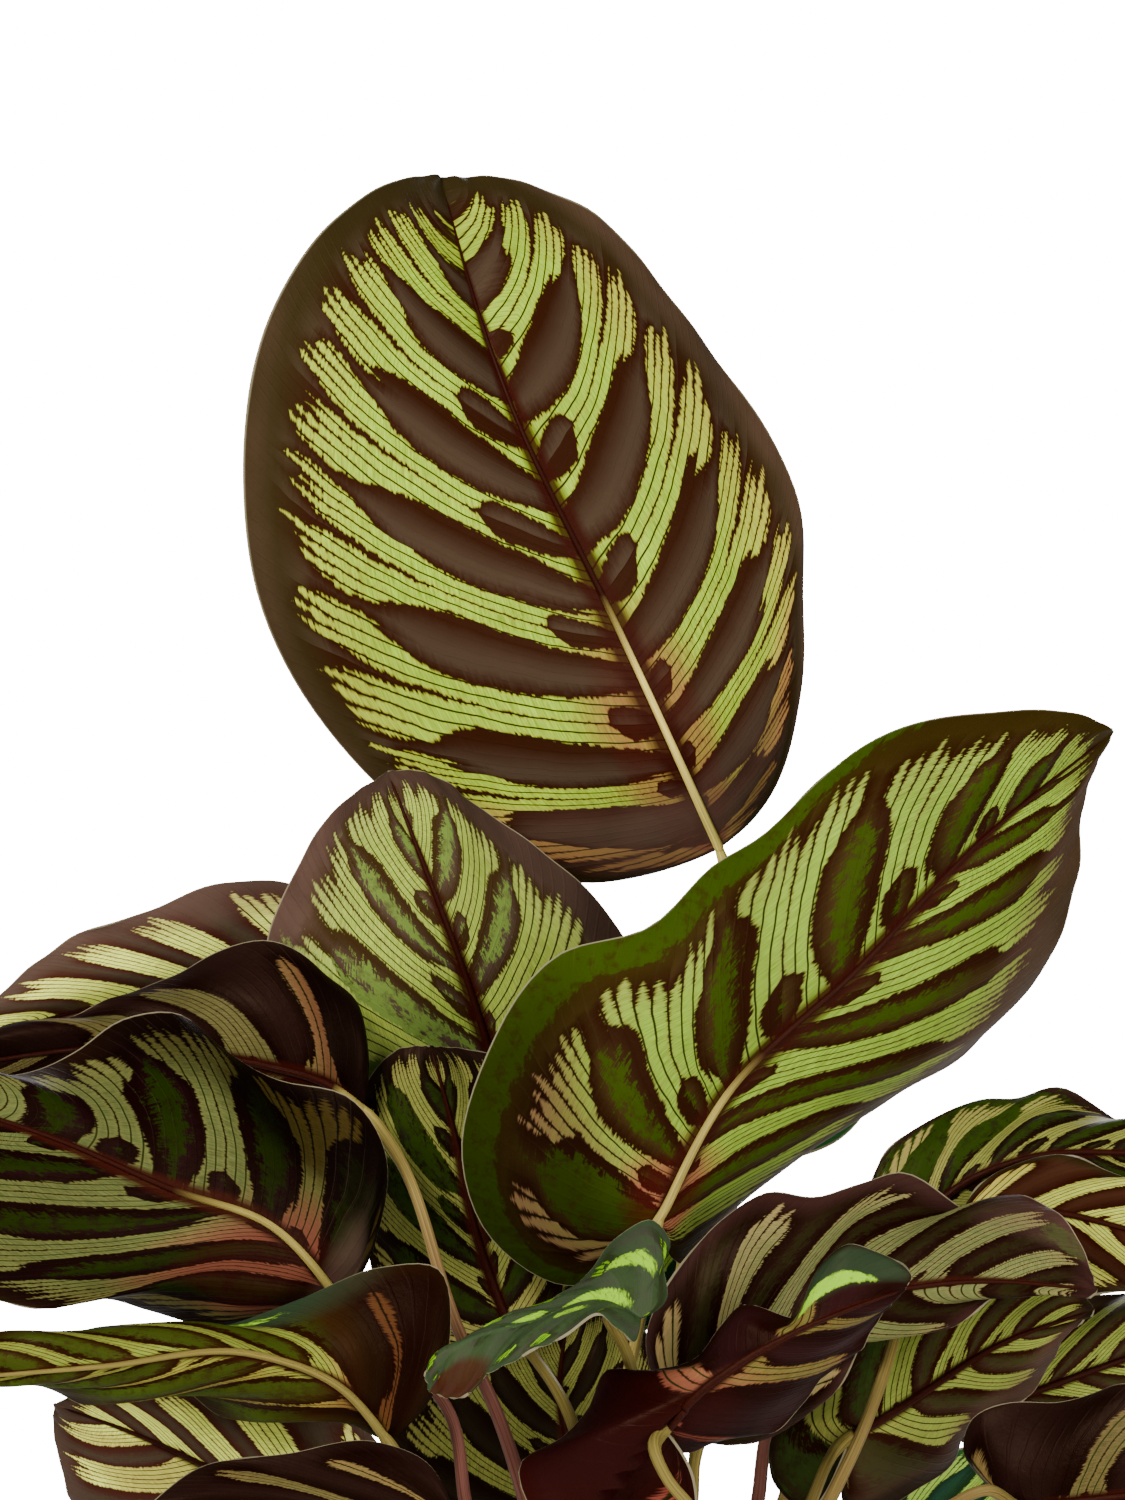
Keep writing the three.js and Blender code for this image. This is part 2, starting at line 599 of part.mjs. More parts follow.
// The potting mix, with a plain hole for the foot of each stem.
function soilGeometry(leaves) {
  const radius = (z) => potRadius(z) - POT.wall - SOIL.gap;
  const middle = radius(SOIL.edgeTop) * 0.75;
  const block = turned([
    [0, SOIL.bottom],
    [radius(SOIL.bottom), SOIL.bottom],
    [radius(SOIL.edgeTop), SOIL.edgeTop],
    [middle, SOIL.middleTop],
    [0, SOIL.middleTop],
  ], POT_SIDES);
  const height = SOIL.middleTop + 5 - HOLE.bottom;
  const holeRadius = STEM.foot + HOLE.clearance;
  const hole = toSolid(turned([[0, 0], [holeRadius, 0], [holeRadius, height], [0, height]], HOLE.sides));
  const holes = leaves.map((leaf) => hole.translate([leaf.foot[0], leaf.foot[1], HOLE.bottom]));
  return fromSolid(toSolid(block).subtract(wasm.Manifold.union(holes)));
}

function named(name, geometry, colour, roughness) {
  const material = new THREE.MeshStandardMaterial({ color: colour, roughness });
  const mesh = new THREE.Mesh(geometry, material);
  mesh.name = name;
  return mesh;
}

function build() {
  const plant = new THREE.Group();
  plant.name = 'potted_peacock_plant';
  const backs = BACK_LEAVES.map((leaf) => ({ bulge: [0.08, 0.08], wave: [2, 3, 0.1], ...leaf }));
  plant.add(named('pot', potGeometry(), COLOURS.pot, 0.6));
  plant.add(named('soil', soilGeometry([...FRONT_LEAVES, ...backs]), COLOURS.soil, 0.95));
  const grow = (leaf, curves) => {
    const colour = leaf.name === 'young' ? COLOURS.youngBlade : COLOURS.blade;
    plant.add(named(`blade_${leaf.name}`, bladeGeometry(curves, leaf), colour, 0.5));
    plant.add(named(`stem_${leaf.name}`, stemGeometry(curves, leaf), COLOURS.stem, 0.5));
  };
  FRONT_LEAVES.forEach((leaf) => grow(leaf, frontCurves(leaf)));
  backs.forEach((leaf) => grow(leaf, backCurves(leaf)));
  return plant;
}

export default build();
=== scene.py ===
"""Potted peacock plant: its leaves, stems, potting mix and pot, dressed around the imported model.

Blender 4.5. Lengths in the tables are millimetres and become metres in the meshes.
"""

import functools
import math

import bmesh
import bpy
import numpy as np
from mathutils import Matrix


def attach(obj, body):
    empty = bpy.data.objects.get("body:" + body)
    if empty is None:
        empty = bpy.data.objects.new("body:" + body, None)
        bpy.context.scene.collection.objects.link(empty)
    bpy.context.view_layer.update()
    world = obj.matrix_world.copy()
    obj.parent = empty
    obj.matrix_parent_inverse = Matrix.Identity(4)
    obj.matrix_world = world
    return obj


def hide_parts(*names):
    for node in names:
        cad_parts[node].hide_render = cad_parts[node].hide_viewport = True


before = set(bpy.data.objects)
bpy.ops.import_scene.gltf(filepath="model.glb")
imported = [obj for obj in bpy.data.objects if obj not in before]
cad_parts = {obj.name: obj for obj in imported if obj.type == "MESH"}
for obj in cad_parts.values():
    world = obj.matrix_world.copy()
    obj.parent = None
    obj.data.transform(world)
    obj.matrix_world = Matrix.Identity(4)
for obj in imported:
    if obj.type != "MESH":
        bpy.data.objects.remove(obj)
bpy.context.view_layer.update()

MM = 0.001

# How a place in the photo becomes a place in the frame: the eye stands level in front of the
# plant, and one pixel is PIXEL millimetres in the plane y = 0.
EYE_X, EYE_DISTANCE, EYE_Z = -5, 1600, 440
PHOTO_ACROSS, PHOTO_DOWN = 562.5, 750
PIXEL = 0.3
FRAME_HEIGHT = 450
SENSOR = 36

BLADE_THICKNESS = 0.8
BLADE_ROWS, BLADE_STRIPS = 120, 56
QUILT = 0.45
NARROW = 0.62
ROOM_LIGHT = 0.27
VEIN_START, VEIN_FAN, VEIN_BEND, VEIN_ARCH = 1.6, 1.9, 0.16, 1.3
# The waves along the edge die out where a half is narrower than WAVE_ROOM, and those of the left
# half run LEFT_LAG of a wave behind. AHEAD is how far along the rib its direction is measured.
WAVE_ROOM, LEFT_LAG, AHEAD = 25, 0.37, 0.02
RIPPLE = 0.4
# Parts of the blade's length by the stem where the blotches are wider and the ovals shorter.
BASE_PART, OVAL_PART = 0.22, 0.38
STEM_FOOT, STEM_TOP, STEM_SWELLING = 3.2, 1.6, 0.4
STEM_FOOT_Z, STEM_FREE_Z = 126, 143
STEM_RINGS, STEM_SIDES, RIDGE_SIDES = 60, 14, 10
# The stem swells at this part of its length, over this part of it.
SWELLING_AT, SWELLING_LENGTH = 0.93, 0.045
RIDGE, RIDGE_TIP, RIDGE_END, BESIDE_RIB = 1.5, 0.4, 0.985, 0.002
TUBE_WELD, BLADE_WELD = 0.00001, 0.000005
# A tube is closed by an end ring of this radius.
CLOSED = 0.02

# Each leaf: rib, left and right edge from the base to the tip, as [across, down] in photo
# pixels; "left" is the viewer's left with the tip up and the underside in view. The three
# depth lists give y in millimetres (negative is nearer the eye), spread along each curve.
# stem lists [across, down, y] from the blade down to the soil, and foot is [x, y] there.
# bulge is how high each half arches, as a part of its width, and wave is the height, count and
# start of the waves along the edge. stemTop is where a stem ends short of its midrib.
FRONT_LEAVES = [
    {"name": "tall",
     "rib": [[718, 848], [617, 628], [512, 410], [440, 178]],
     "left": [[680, 864], [590, 884], [470, 848], [340, 745], [262, 610], [243, 470], [262, 335],
              [325, 228], [385, 187]],
     "right": [[748, 822], [803, 690], [804, 600], [793, 495], [750, 400], [660, 290], [590, 212],
               [510, 176]],
     "depths": [[20, 2, 4, 36], [20, 10, -10, -14, 8], [28, 30, 36, 34, 34]],
     "bulge": [0.06, 0.06], "wave": [2, 3, 0], "stem": [[702, 1100, 16], [655, 1450, 18]], "foot": [8, 16]},
    {"name": "right",
     "rib": [[658, 1223], [724, 1096], [855, 970], [977, 843], [1113, 731]],
     "left": [[632, 1262], [565, 1283], [490, 1236], [461, 1150], [488, 1048], [560, 955], [650, 928],
              [710, 866], [763, 834], [816, 782], [894, 731], [1000, 712], [1075, 713]],
     "right": [[676, 1262], [711, 1232], [785, 1171], [886, 1096], [982, 1044], [1038, 970], [1073, 882],
               [1095, 777]],
     "depths": [[-60, -54, -42, -25, 0], [-48, -62, -76, -70, -48, -40, -20], [-48, -30, -8, 10, 10, 4]],
     "wave": [2, 3, 0], "stem": [[651, 1262, -71], [638, 1330, -70], [612, 1440, -54]],
     "foot": [4, -10]},
    {"name": "back_left",
     "rib": [[505, 1105], [468, 985], [425, 870], [387, 772]],
     "left": [[430, 1118], [345, 1085], [285, 1020], [266, 950], [290, 884], [330, 815]],
     "right": [[570, 1110], [630, 1060], [645, 985], [605, 910], [540, 852], [480, 805], [436, 778]],
     "depths": [[-12, -18, -22, -14], [-16, -22, -30, -24], [-10, -6, -4, -8]],
     "wave": [2, 3, 0.3], "stem": [[528, 1250, -4], [550, 1450, 2]], "foot": [-8, 2]},
    {"name": "far_left",
     "rib": [[390, 1000], [250, 985], [100, 1005], [-65, 1055]],
     "left": [[350, 1060], [240, 1090], [120, 1092], [20, 1078]],
     "right": [[345, 915], [291, 884], [230, 884], [161, 903], [100, 926], [40, 962], [-20, 1010]],
     "depths": [[16, 14, 8, 0], [22, 26, 20, 8], [12, 4, 0, 0]],
     "wave": [2, 3, 0.6], "stem": [[430, 1150, 22], [490, 1450, 20]], "foot": [-22, 14]},
    {"name": "left_fold",
     "rib": [[362, 1108], [330, 1085], [255, 1063], [120, 1048], [-60, 1070]],
     "left": [[330, 1160], [180, 1160], [60, 1120]],
     "right": [[367, 1049], [358, 1000], [320, 972], [262, 942], [215, 952], [172, 976], [130, 995],
               [77, 1018], [0, 1025]],
     "depths": [[-42, -46, -46, -46, -44], [-30, -14, -12, -30], [-40, -36, -34, -38]],
     "bulge": [0.1, 0.15], "wave": [2, 3, 0.2],
     "stem": [[390, 1144, -50], [465, 1345, -72], [487, 1390, -74], [525, 1500, -62]], "foot": [-6, -24]},
    {"name": "left_front",
     "rib": [[337, 1297], [268, 1225], [172, 1190], [57, 1140], [-130, 1085]],
     "left": [[315, 1304], [240, 1322], [199, 1324], [150, 1311], [110, 1298], [31, 1307], [-50, 1280],
              [-115, 1210], [-145, 1130]],
     "right": [[358, 1278], [383, 1215], [382, 1150], [345, 1098], [285, 1079], [230, 1052], [172, 1018],
               [125, 1020], [77, 1050], [20, 1073], [-60, 1070]],
     "depths": [[-76, -84, -92, -98, -104], [-78, -88, -98, -106], [-70, -62, -58, -68, -90]],
     "wave": [2, 3, 0.5], "stem": [[395, 1352, -78], [448, 1410, -82], [465, 1500, -82]],
     "foot": [-22, -44]},
    {"name": "low_left",
     "rib": [[388, 1440], [339, 1386], [250, 1354], [100, 1366], [-80, 1380]],
     "left": [[375, 1434], [314, 1407], [268, 1413], [225, 1416], [180, 1390], [139, 1386], [86, 1402],
              [40, 1385], [0, 1377]],
     "right": [[425, 1405], [450, 1330], [440, 1270], [380, 1268], [300, 1300], [235, 1322], [154, 1326],
               [71, 1336], [0, 1332]],
     "depths": [[-104, -108, -110, -112, -110], [-100, -90, -90, -100], [-102, -96, -92, -94, -102]],
     "wave": [1, 3, 0], "stem": [[411, 1486, -102], [445, 1600, -80]], "foot": [-36, -44]},
    {"name": "low_far",
     "rib": [[380, 1570], [200, 1462], [143, 1436], [54, 1404]],
     "left": [[300, 1615], [200, 1605], [110, 1565], [72, 1500], [62, 1462], [53, 1430]],
     "right": [[400, 1495], [352, 1415], [260, 1392], [150, 1386]],
     "depths": [[-60, -74, -80, -84], [-52, -60, -74], [-66, -76, -82]],
     "wave": [2, 3, 0.4], "stem": [[430, 1650, -46]], "foot": [-42, -20]},
    {"name": "low_dark",
     "rib": [[455, 1520], [350, 1520], [230, 1552], [90, 1640]],
     "left": [[400, 1590], [300, 1650], [200, 1690], [120, 1680]],
     "right": [[425, 1462], [379, 1443], [286, 1454], [200, 1468], [150, 1505], [95, 1570]],
     "depths": [[-112, -116, -122, -128], [-110, -116, -126], [-112, -116, -124]],
     "wave": [2, 3, 0.1], "stem": [[476, 1580, -100]], "foot": [-28, -56]},
    {"name": "centre",
     "rib": [[512, 1335], [475, 1228], [456, 1140], [430, 1046]],
     "left": [[430, 1345], [376, 1275], [358, 1190], [356, 1112], [374, 1070], [400, 1049]],
     "right": [[565, 1310], [580, 1220], [560, 1130], [520, 1070], [471, 1050]],
     "depths": [[-34, -36, -38, -36], [-28, -26, -32], [-24, -20, -26]],
     "wave": [2, 3, 0.8], "stem": [[532, 1355, -56], [573, 1425, -88], [598, 1540, -80]], "foot": [0, -44]},
    {"name": "shade",
     "rib": [[600, 1560], [575, 1470], [560, 1390], [570, 1310]],
     "left": [[400, 1560], [384, 1480], [402, 1400], [490, 1330]],
     "right": [[640, 1545], [668, 1450], [660, 1360], [620, 1310]],
     "depths": [[-14, -20, -22, -22], [-10, -12, -18], [-10, -12, -18]],
     "wave": [2, 3, 0.1], "stem": [[598, 1640, -12]], "foot": [4, 4]},
    {"name": "young",
     "rib": [[640, 1318], [600, 1300], [540, 1320], [452, 1352], [430, 1392]],
     "left": [[665, 1300], [662, 1262], [669, 1243], [653, 1222], [617, 1238], [590, 1272], [552, 1302],
              [500, 1320], [450, 1350], [425, 1370]],
     "right": [[633, 1342], [618, 1326], [596, 1316], [565, 1336], [528, 1352], [490, 1372], [460, 1398]],
     "depths": [[-128, -130, -133, -136, -136], [-116, -112, -122, -132], [-134, -140, -142, -140]],
     "bulge": [-0.1, -0.1], "wave": [1, 2, 0], "stem": [[632, 1372, -92]], "stemTop": [605, 1313.8, -131],
     "foot": [8, -52]},
    {"name": "maroon",
     "rib": [[663, 1428], [700, 1392], [770, 1345], [850, 1308], [905, 1288]],
     "left": [[694, 1480], [690, 1540], [605, 1562], [540, 1520], [520, 1465], [560, 1438], [585, 1408],
              [605, 1373], [650, 1375], [700, 1360], [722, 1325], [738, 1306], [800, 1314], [825, 1262],
              [850, 1246], [885, 1258], [910, 1276]],
     "right": [[682, 1450], [712, 1447], [754, 1432], [795, 1411], [836, 1367], [868, 1330], [895, 1305]],
     "depths": [[-114, -118, -120, -120, -116], [-104, -100, -98, -104, -112, -116],
                [-102, -96, -98, -106]],
     "bulge": [0.08, 0.1], "wave": [2, 3, 0],
     "stem": [[655, 1452, -125], [668, 1480, -128], [692, 1510, -126], [676, 1600, -112]],
     "foot": [20, -44]},
    {"name": "wavy",
     "rib": [[700, 1440], [745, 1375], [830, 1310], [940, 1284], [1097, 1290]],
     "left": [[662, 1400], [648, 1335], [684, 1262], [716, 1221], [760, 1193], [836, 1201], [872, 1186],
              [901, 1173], [971, 1203], [1010, 1199], [1052, 1218], [1085, 1259]],
     "right": [[770, 1440], [830, 1390], [880, 1330], [950, 1320], [985, 1302], [1040, 1292]],
     "depths": [[-70, -76, -82, -84, -80], [-74, -70, -66, -62, -70], [-72, -74, -78, -80]],
     "wave": [4, 3, 0.2], "stem": [[693, 1500, -66]], "foot": [22, -30]},
    {"name": "high_right",
     "rib": [[905, 1240], [957, 1188], [1025, 1159], [1125, 1153], [1225, 1168]],
     "left": [[868, 1205], [879, 1167], [925, 1122], [975, 1098], [1020, 1104], [1070, 1092],
              [1130, 1120], [1190, 1132]],
     "right": [[950, 1235], [1020, 1222], [1100, 1212], [1180, 1198]],
     "depths": [[-32, -32, -34, -34, -32], [-26, -20, -16, -22], [-26, -22, -18, -22]],
     "wave": [3, 3, 0.2], "stem": [[896, 1330, -62], [863, 1430, -78], [830, 1500, -78]], "foot": [34, -30]},
    {"name": "mid_right",
     "rib": [[960, 1225], [1052, 1213], [1125, 1229], [1240, 1264]],
     "left": [[975, 1190], [1030, 1160], [1110, 1168], [1190, 1205]],
     "right": [[990, 1275], [1060, 1300], [1097, 1293], [1140, 1292], [1200, 1290]],
     "depths": [[-44, -48, -50, -48], [-44, -42, -44], [-46, -50, -50]],
     "wave": [3, 3, 0.7], "stem": [[875, 1310, -20], [768, 1430, -12], [758, 1500, -10]], "foot": [36, 6]},
    {"name": "low_right",
     "rib": [[850, 1440], [917, 1397], [993, 1348], [1094, 1310]],
     "left": [[800, 1512], [776, 1484], [771, 1430], [800, 1400], [850, 1345], [900, 1300], [960, 1275],
              [1020, 1268], [1070, 1280]],
     "right": [[850, 1512], [903, 1490], [957, 1465], [966, 1432], [995, 1408], [1033, 1394],
               [1055, 1360], [1071, 1325]],
     "depths": [[-58, -60, -62, -62], [-38, -40, -46, -54], [-42, -50, -58]],
     "wave": [3, 3, 0.3], "stem": [[828, 1462, -70], [812, 1500, -66]], "foot": [38, -14]},
    {"name": "corner",
     "rib": [[1025, 1508], [1090, 1500], [1180, 1492], [1290, 1500]],
     "left": [[990, 1488], [962, 1450], [976, 1421], [1010, 1404], [1052, 1402], [1125, 1386],
              [1200, 1398], [1260, 1440]],
     "right": [[1000, 1560], [1050, 1605], [1130, 1612], [1220, 1585]],
     "depths": [[-98, -108, -116, -124], [-84, -86, -96, -112], [-92, -104, -116]],
     "wave": [3, 3, 0], "stem": [[985, 1490, -110], [940, 1512, -104], [850, 1600, -76]],
     "foot": [44, -38]},
    {"name": "far_right",
     "rib": [[940, 1425], [1040, 1390], [1150, 1352], [1275, 1335]],
     "left": [[945, 1380], [1000, 1330], [1080, 1300], [1170, 1285], [1240, 1300]],
     "right": [[980, 1450], [1060, 1445], [1160, 1420], [1230, 1385]],
     "depths": [[-30, -30, -24, -10], [-26, -16, -8], [-30, -26, -16]],
     "wave": [3, 3, 0.5], "stem": [[850, 1600, -16]], "foot": [46, -4]},
]
# The leaves behind: base and tip as [across, down, y], half the width in photo pixels, and how
# far the middle bows, in millimetres.
BACK_LEAVES = [
    {"name": "rear_top", "base": [560, 790, 52], "tip": [470, 380, 110], "half": 120, "bow": -14,
     "stem": [[535, 960, 28], [590, 1400, 30]], "foot": [-2, 30]},
    {"name": "rear_right", "base": [730, 1150, 46], "tip": [960, 830, 100], "half": 85, "bow": -12,
     "stem": [[690, 1350, 38]], "foot": [24, 26]},
    {"name": "rear_left", "base": [330, 1190, 50], "tip": [60, 1040, 105], "half": 75, "bow": -14,
     "stem": [[430, 1370, 46]], "foot": [-34, 28]},
    {"name": "rear_middle", "base": [500, 1120, 48], "tip": [390, 860, 96], "half": 80, "bow": -10,
     "stem": [[520, 1350, 38]], "foot": [-14, 34]},
    {"name": "rear_low_right", "base": [850, 1340, 40], "tip": [1040, 1210, 120], "half": 70, "bow": -10,
     "stem": [[790, 1480, 34]], "foot": [44, 18]},
    {"name": "rear_low", "base": [640, 1330, 60], "tip": [600, 1050, 140], "half": 105, "bow": -12,
     "stem": [[620, 1500, 50]], "foot": [12, 42]},
    {"name": "rear_low_left", "base": [360, 1500, 60], "tip": [130, 1470, 120], "half": 66, "bow": -12,
     "stem": [[430, 1640, 46]], "foot": [-30, 44]},
    {"name": "rear_corner", "base": [880, 1560, 60], "tip": [1120, 1470, 120], "half": 74, "bow": -12,
     "stem": [[790, 1660, 48]], "foot": [36, 40]},
]
# Where a leaf doesn't say otherwise. OVAL_STATIONS shape the outline of a back leaf: a part of its
# length and of its half width there.
FRONT_BULGE, BACK_BULGE, BACK_WAVE = [0.1, 0.1], [0.08, 0.08], [2, 3, 0.1]
OVAL_STATIONS = [(0.03, 0.45), (0.16, 0.9), (0.4, 1), (0.64, 0.86), (0.86, 0.52)]
OVAL_CUP = 14

# What a blade looks like. left and right list where the dark blotches leave the midrib, as
# parts of its length from the base; arch tells how far their axes first climb and then fall
# back on the way to the edge, for the left and the right half; reach stretches the pattern
# across the half (below 1 the dark edge is wider); base widens the blotches by the stem; ovals
# shortens the small ovals of the left and the right half, and further towards the stem; pink and
# pale tint the stem, pale making it paler and creamier, partly its own colour and partly a
# painted highlight; tan is how far along the blade the midrib keeps the stem's colour.
PLAIN_LOOK = {
    "finish": "bright",
    "left": [0.02, 0.16, 0.32, 0.5, 0.68, 0.86],
    "right": [0.09, 0.24, 0.41, 0.59, 0.77, 0.94],
    "arch": [(0.1, 0.2), (0.1, 0.2)],
    "reach": [1, 1],
    "base": 0.4,
    "ovals": (1.2, 1.6, 2.6),
    "pink": 0.3,
    "pale": 0.08,
    "tan": 0.3,
}
LOOKS = {
    "tall": {"finish": "forked", "left": [0.0, 0.065, 0.13, 0.256, 0.369, 0.518, 0.69, 0.83],
             "right": [0.0, 0.035, 0.085, 0.173, 0.293, 0.467, 0.65, 0.846], "arch": [(0, 0.25), (0, 0.25)],
             "reach": [0.96, 0.94], "base": 0.1, "ovals": (1, 1.35, 2.6), "pink": 0.2, "pale": 1,
             "tan": 0.48},
    "right": {"finish": "mottled", "left": [0.016, 0.094, 0.22, 0.436, 0.654, 0.8],
             "right": [-0.015, 0.127, 0.3, 0.5, 0.68, 0.83], "arch": [(0.05, 0.14), (0.2, 0.2)],
             "reach": [0.93, 0.85], "base": 0, "ovals": (1, 2.2, 0.5), "pink": 0.4, "pale": 0.35,
             "tan": 0.4},
    "back_left": {"finish": "silvery", "left": [-0.08, 0.16, 0.4, 0.72, 0.95],
             "right": [0.1, 0.345, 0.62, 0.88], "arch": [(0.17, 0), (0.1, 0.05)], "reach": [0.95, 0.85],
             "tan": 0.05},
    "far_left": {"finish": "pale", "right": [0.19, 0.33, 0.47, 0.69, 0.9], "arch": [(0.1, 0.2), (0, 0.25)],
             "pink": 0.4},
    "left_fold": {"finish": "dark", "right": [0.04, 0.19, 0.36, 0.75], "arch": [(0.1, 0.2), (0, 0.1)],
             "pink": 1.2, "pale": 0.3, "tan": 0.2},
    "left_front": {"finish": "shaded", "left": [-0.05, 0.1, 0.28, 0.5, 0.75, 0.93],
             "right": [0.06, 0.214, 0.4, 0.665, 0.9], "arch": [(0.2, 0.1), (0, 0.45)],
             "ovals": (2.5, 1.2, 2.6), "pink": 2, "pale": 0.3, "tan": 0.5},
    "low_left": {"finish": "olive", "pink": 0.2, "pale": 0.1, "tan": 1.2},
    "low_far": {"finish": "pale", "left": [0.2, 0.42, 0.66, 0.9], "right": [0.1, 0.3, 0.52, 0.72],
             "pink": 0.5, "tan": 0.05},
    "low_dark": {"finish": "dark", "pink": 0.9},
    "centre": {"finish": "deep", "left": [0.07, 0.25, 0.5, 0.78], "right": [0.12, 0.33, 0.55, 0.8],
             "arch": [(0.12, 0.1), (0.12, 0.1)], "pink": 0, "pale": 0, "tan": 0.05},
    "shade": {"finish": "deep", "pink": 0.6, "tan": 0.05},
    "young": {"finish": "young", "pink": 0, "pale": 0.1},
    "maroon": {"finish": "maroon", "left": [0.1, 0.38, 0.8], "right": [0.16, 0.5, 0.85], "pink": 0.1,
             "pale": 0.1, "tan": 0.05},
    "wavy": {"finish": "dusky", "right": [0.06, 0.28, 0.55, 0.85], "arch": [(0.1, 0.2), (0, 0.5)],
             "pink": 0.2, "tan": 0.05},
    "high_right": {"finish": "deep", "tan": 0.1},
    "mid_right": {"left": [0.1, 0.35, 0.6, 0.85], "right": [0.05, 0.3, 0.55, 0.8], "pink": 1, "tan": 0.05},
    "low_right": {"finish": "sage", "left": [0.1, 0.32, 0.52, 0.7, 0.9],
             "right": [0.04, 0.3, 0.55, 0.75, 0.9], "arch": [(0.17, 0.1), (0.1, 0.1)],
             "reach": [1.05, 0.85], "pale": 0.1, "tan": 0.1},
    "corner": {"finish": "dark", "left": [0.1, 0.4, 0.75], "pink": 1, "tan": 0.1},
    "far_right": {"finish": "sage", "pink": 0.4, "tan": 0.1},
    "rear_right": {"finish": "mottled"},
    "rear_left": {"finish": "mottled", "pink": 0.5},
    "rear_middle": {"finish": "deep", "pink": 0.4},
    "rear_low_right": {"finish": "dusky"},
    "rear_low_left": {"finish": "deep"},
    "rear_corner": {"finish": "mottled", "pink": 0.5},
}

# Local colour and painted light of single blades: kind, middle (part of the midrib's length,
# place across from -1 to 1), half sizes of the patch and strength. flush is red, green adds
# green mottling (below 0 takes it away), swell widens the blotches, margin widens the dark
# edge, haze is a greyish painted sheen (a painted highlight), dim is painted shade over parts
# of a blade that lie deeper among the other leaves, upper shows the upper side where the blade
# curls over, and lime is its bright streak.
PATCHES = {
    "tall": [("flush", 0.1, 0, 0.3, 0.22, 0.8), ("swell", 0.3, 0.8, 0.35, 0.4, 0.25),
             ("painted_sheen", 0, 0, 0.1, 0.8, 0.6), ("painted_sheen", 0.25, 1, 0.4, 0.2, 0.4),
             ("painted_sheen", 0.2, -1, 0.3, 0.14, 0.2), ("swell", 0.02, -0.5, 0.06, 0.9, 0.55),
             ("swell", 0.02, 0.6, 0.08, 0.7, 0.5), ("flush", 0.02, -0.6, 0.06, 0.6, 0.6),
             ("flush", 0.02, 0.7, 0.07, 0.5, 0.5)],
    "right": [("flush", 0, 0, 0.14, 0.3, 1), ("green", 0.08, -1.05, 0.45, 0.36, 1),
              ("green", 0.5, 0.7, 0.7, 0.4, -1), ("swell", 0.03, -0.7, 0.09, 0.7, 0.65),
              ("margin", 0.08, -0.8, 0.2, 0.6, 0.12), ("painted_shade", 0.02, -0.7, 0.12, 0.6, 0.65),
              ("painted_sheen", 0.5, 0.8, 0.6, 0.3, 0.35)],
    "back_left": [("green", 0.1, -0.6, 0.22, 0.6, 1), ("painted_sheen", 0.3, -1, 0.3, 0.3, 0.45)],
    "far_left": [("painted_sheen", 0.1, 0.9, 0.3, 0.3, 0.5)],
    "left_fold": [("flush", 0.06, 0.3, 0.08, 0.7, 0.35), ("swell", 0.33, 0.2, 0.17, 0.9, -0.4),
                  ("painted_shade", 0.05, 0.3, 0.09, 0.9, 0.6)],
    "left_front": [("flush", 0.05, -0.2, 0.25, 0.5, 0.8), ("green", 0.5, -1, 0.4, 0.22, 1),
                   ("painted_shade", 0.1, 0.8, 0.25, 0.5, 0.8), ("painted_shade", 0.05, -0.1, 0.22, 1.1, 0.55),
                   ("painted_sheen", 0, 0.15, 0.07, 0.4, 0.5)],
    "low_left": [("green", 0.6, -0.7, 0.6, 0.4, 0.4), ("upper", 0.2, 1.1, 0.14, 0.55, 1),
                 ("upper", 0.34, 1, 0.16, 0.2, 1), ("lime", 0.24, 0.82, 0.1, 0.1, 0.6),
                 ("painted_shade", 0.03, 0.4, 0.14, 0.8, 0.9), ("green", 0.05, 0.3, 0.15, 0.9, -1),
                 ("flush", 0.08, 0.5, 0.12, 0.8, 0.7), ("swell", 0.4, -0.5, 0.5, 0.6, 0.2)],
    "low_far": [("flush", 0.6, -0.3, 0.3, 0.4, 0.5)],
    "centre": [("green", 0.5, -0.4, 0.35, 0.5, 0.6)],
    "shade": [("green", 0.5, 0, 1, 1.5, -0.8)],
    "young": [("lime", 0.2, -0.05, 0.18, 0.11, 0.8), ("lime", 0.1, -0.45, 0.07, 0.12, 0.8),
              ("lime", 0.46, -0.16, 0.09, 0.14, 0.8), ("lime", 0.42, -0.85, 0.09, 0.15, 0.7),
              ("lime", 0.25, 0.24, 0.08, 0.1, 0.7), ("flush", 0.8, 1, 0.4, 0.9, 1.6),
              ("swell", 0.8, 1, 0.4, 0.9, 1)],
    "maroon": [("flush", 0.05, -0.3, 0.35, 1.2, 0.72), ("painted_shade", 0.1, 0, 0.2, 0.9, 0.4),
               ("upper", 0.72, -0.65, 0.22, 0.42, 1), ("lime", 0.7, -0.42, 0.17, 0.14, 0.9)],
    "wavy": [("green", 0.68, -0.85, 0.1, 0.2, 0.7), ("painted_sheen", 0.62, -0.85, 0.14, 0.4, 0.35)],
    "high_right": [("green", 0.15, -0.6, 0.25, 0.5, 0.7)],
    "low_right": [("green", 0.1, -0.6, 0.25, 0.6, 0.45), ("painted_sheen", 0.5, 0.8, 0.4, 0.4, 0.5)],
}
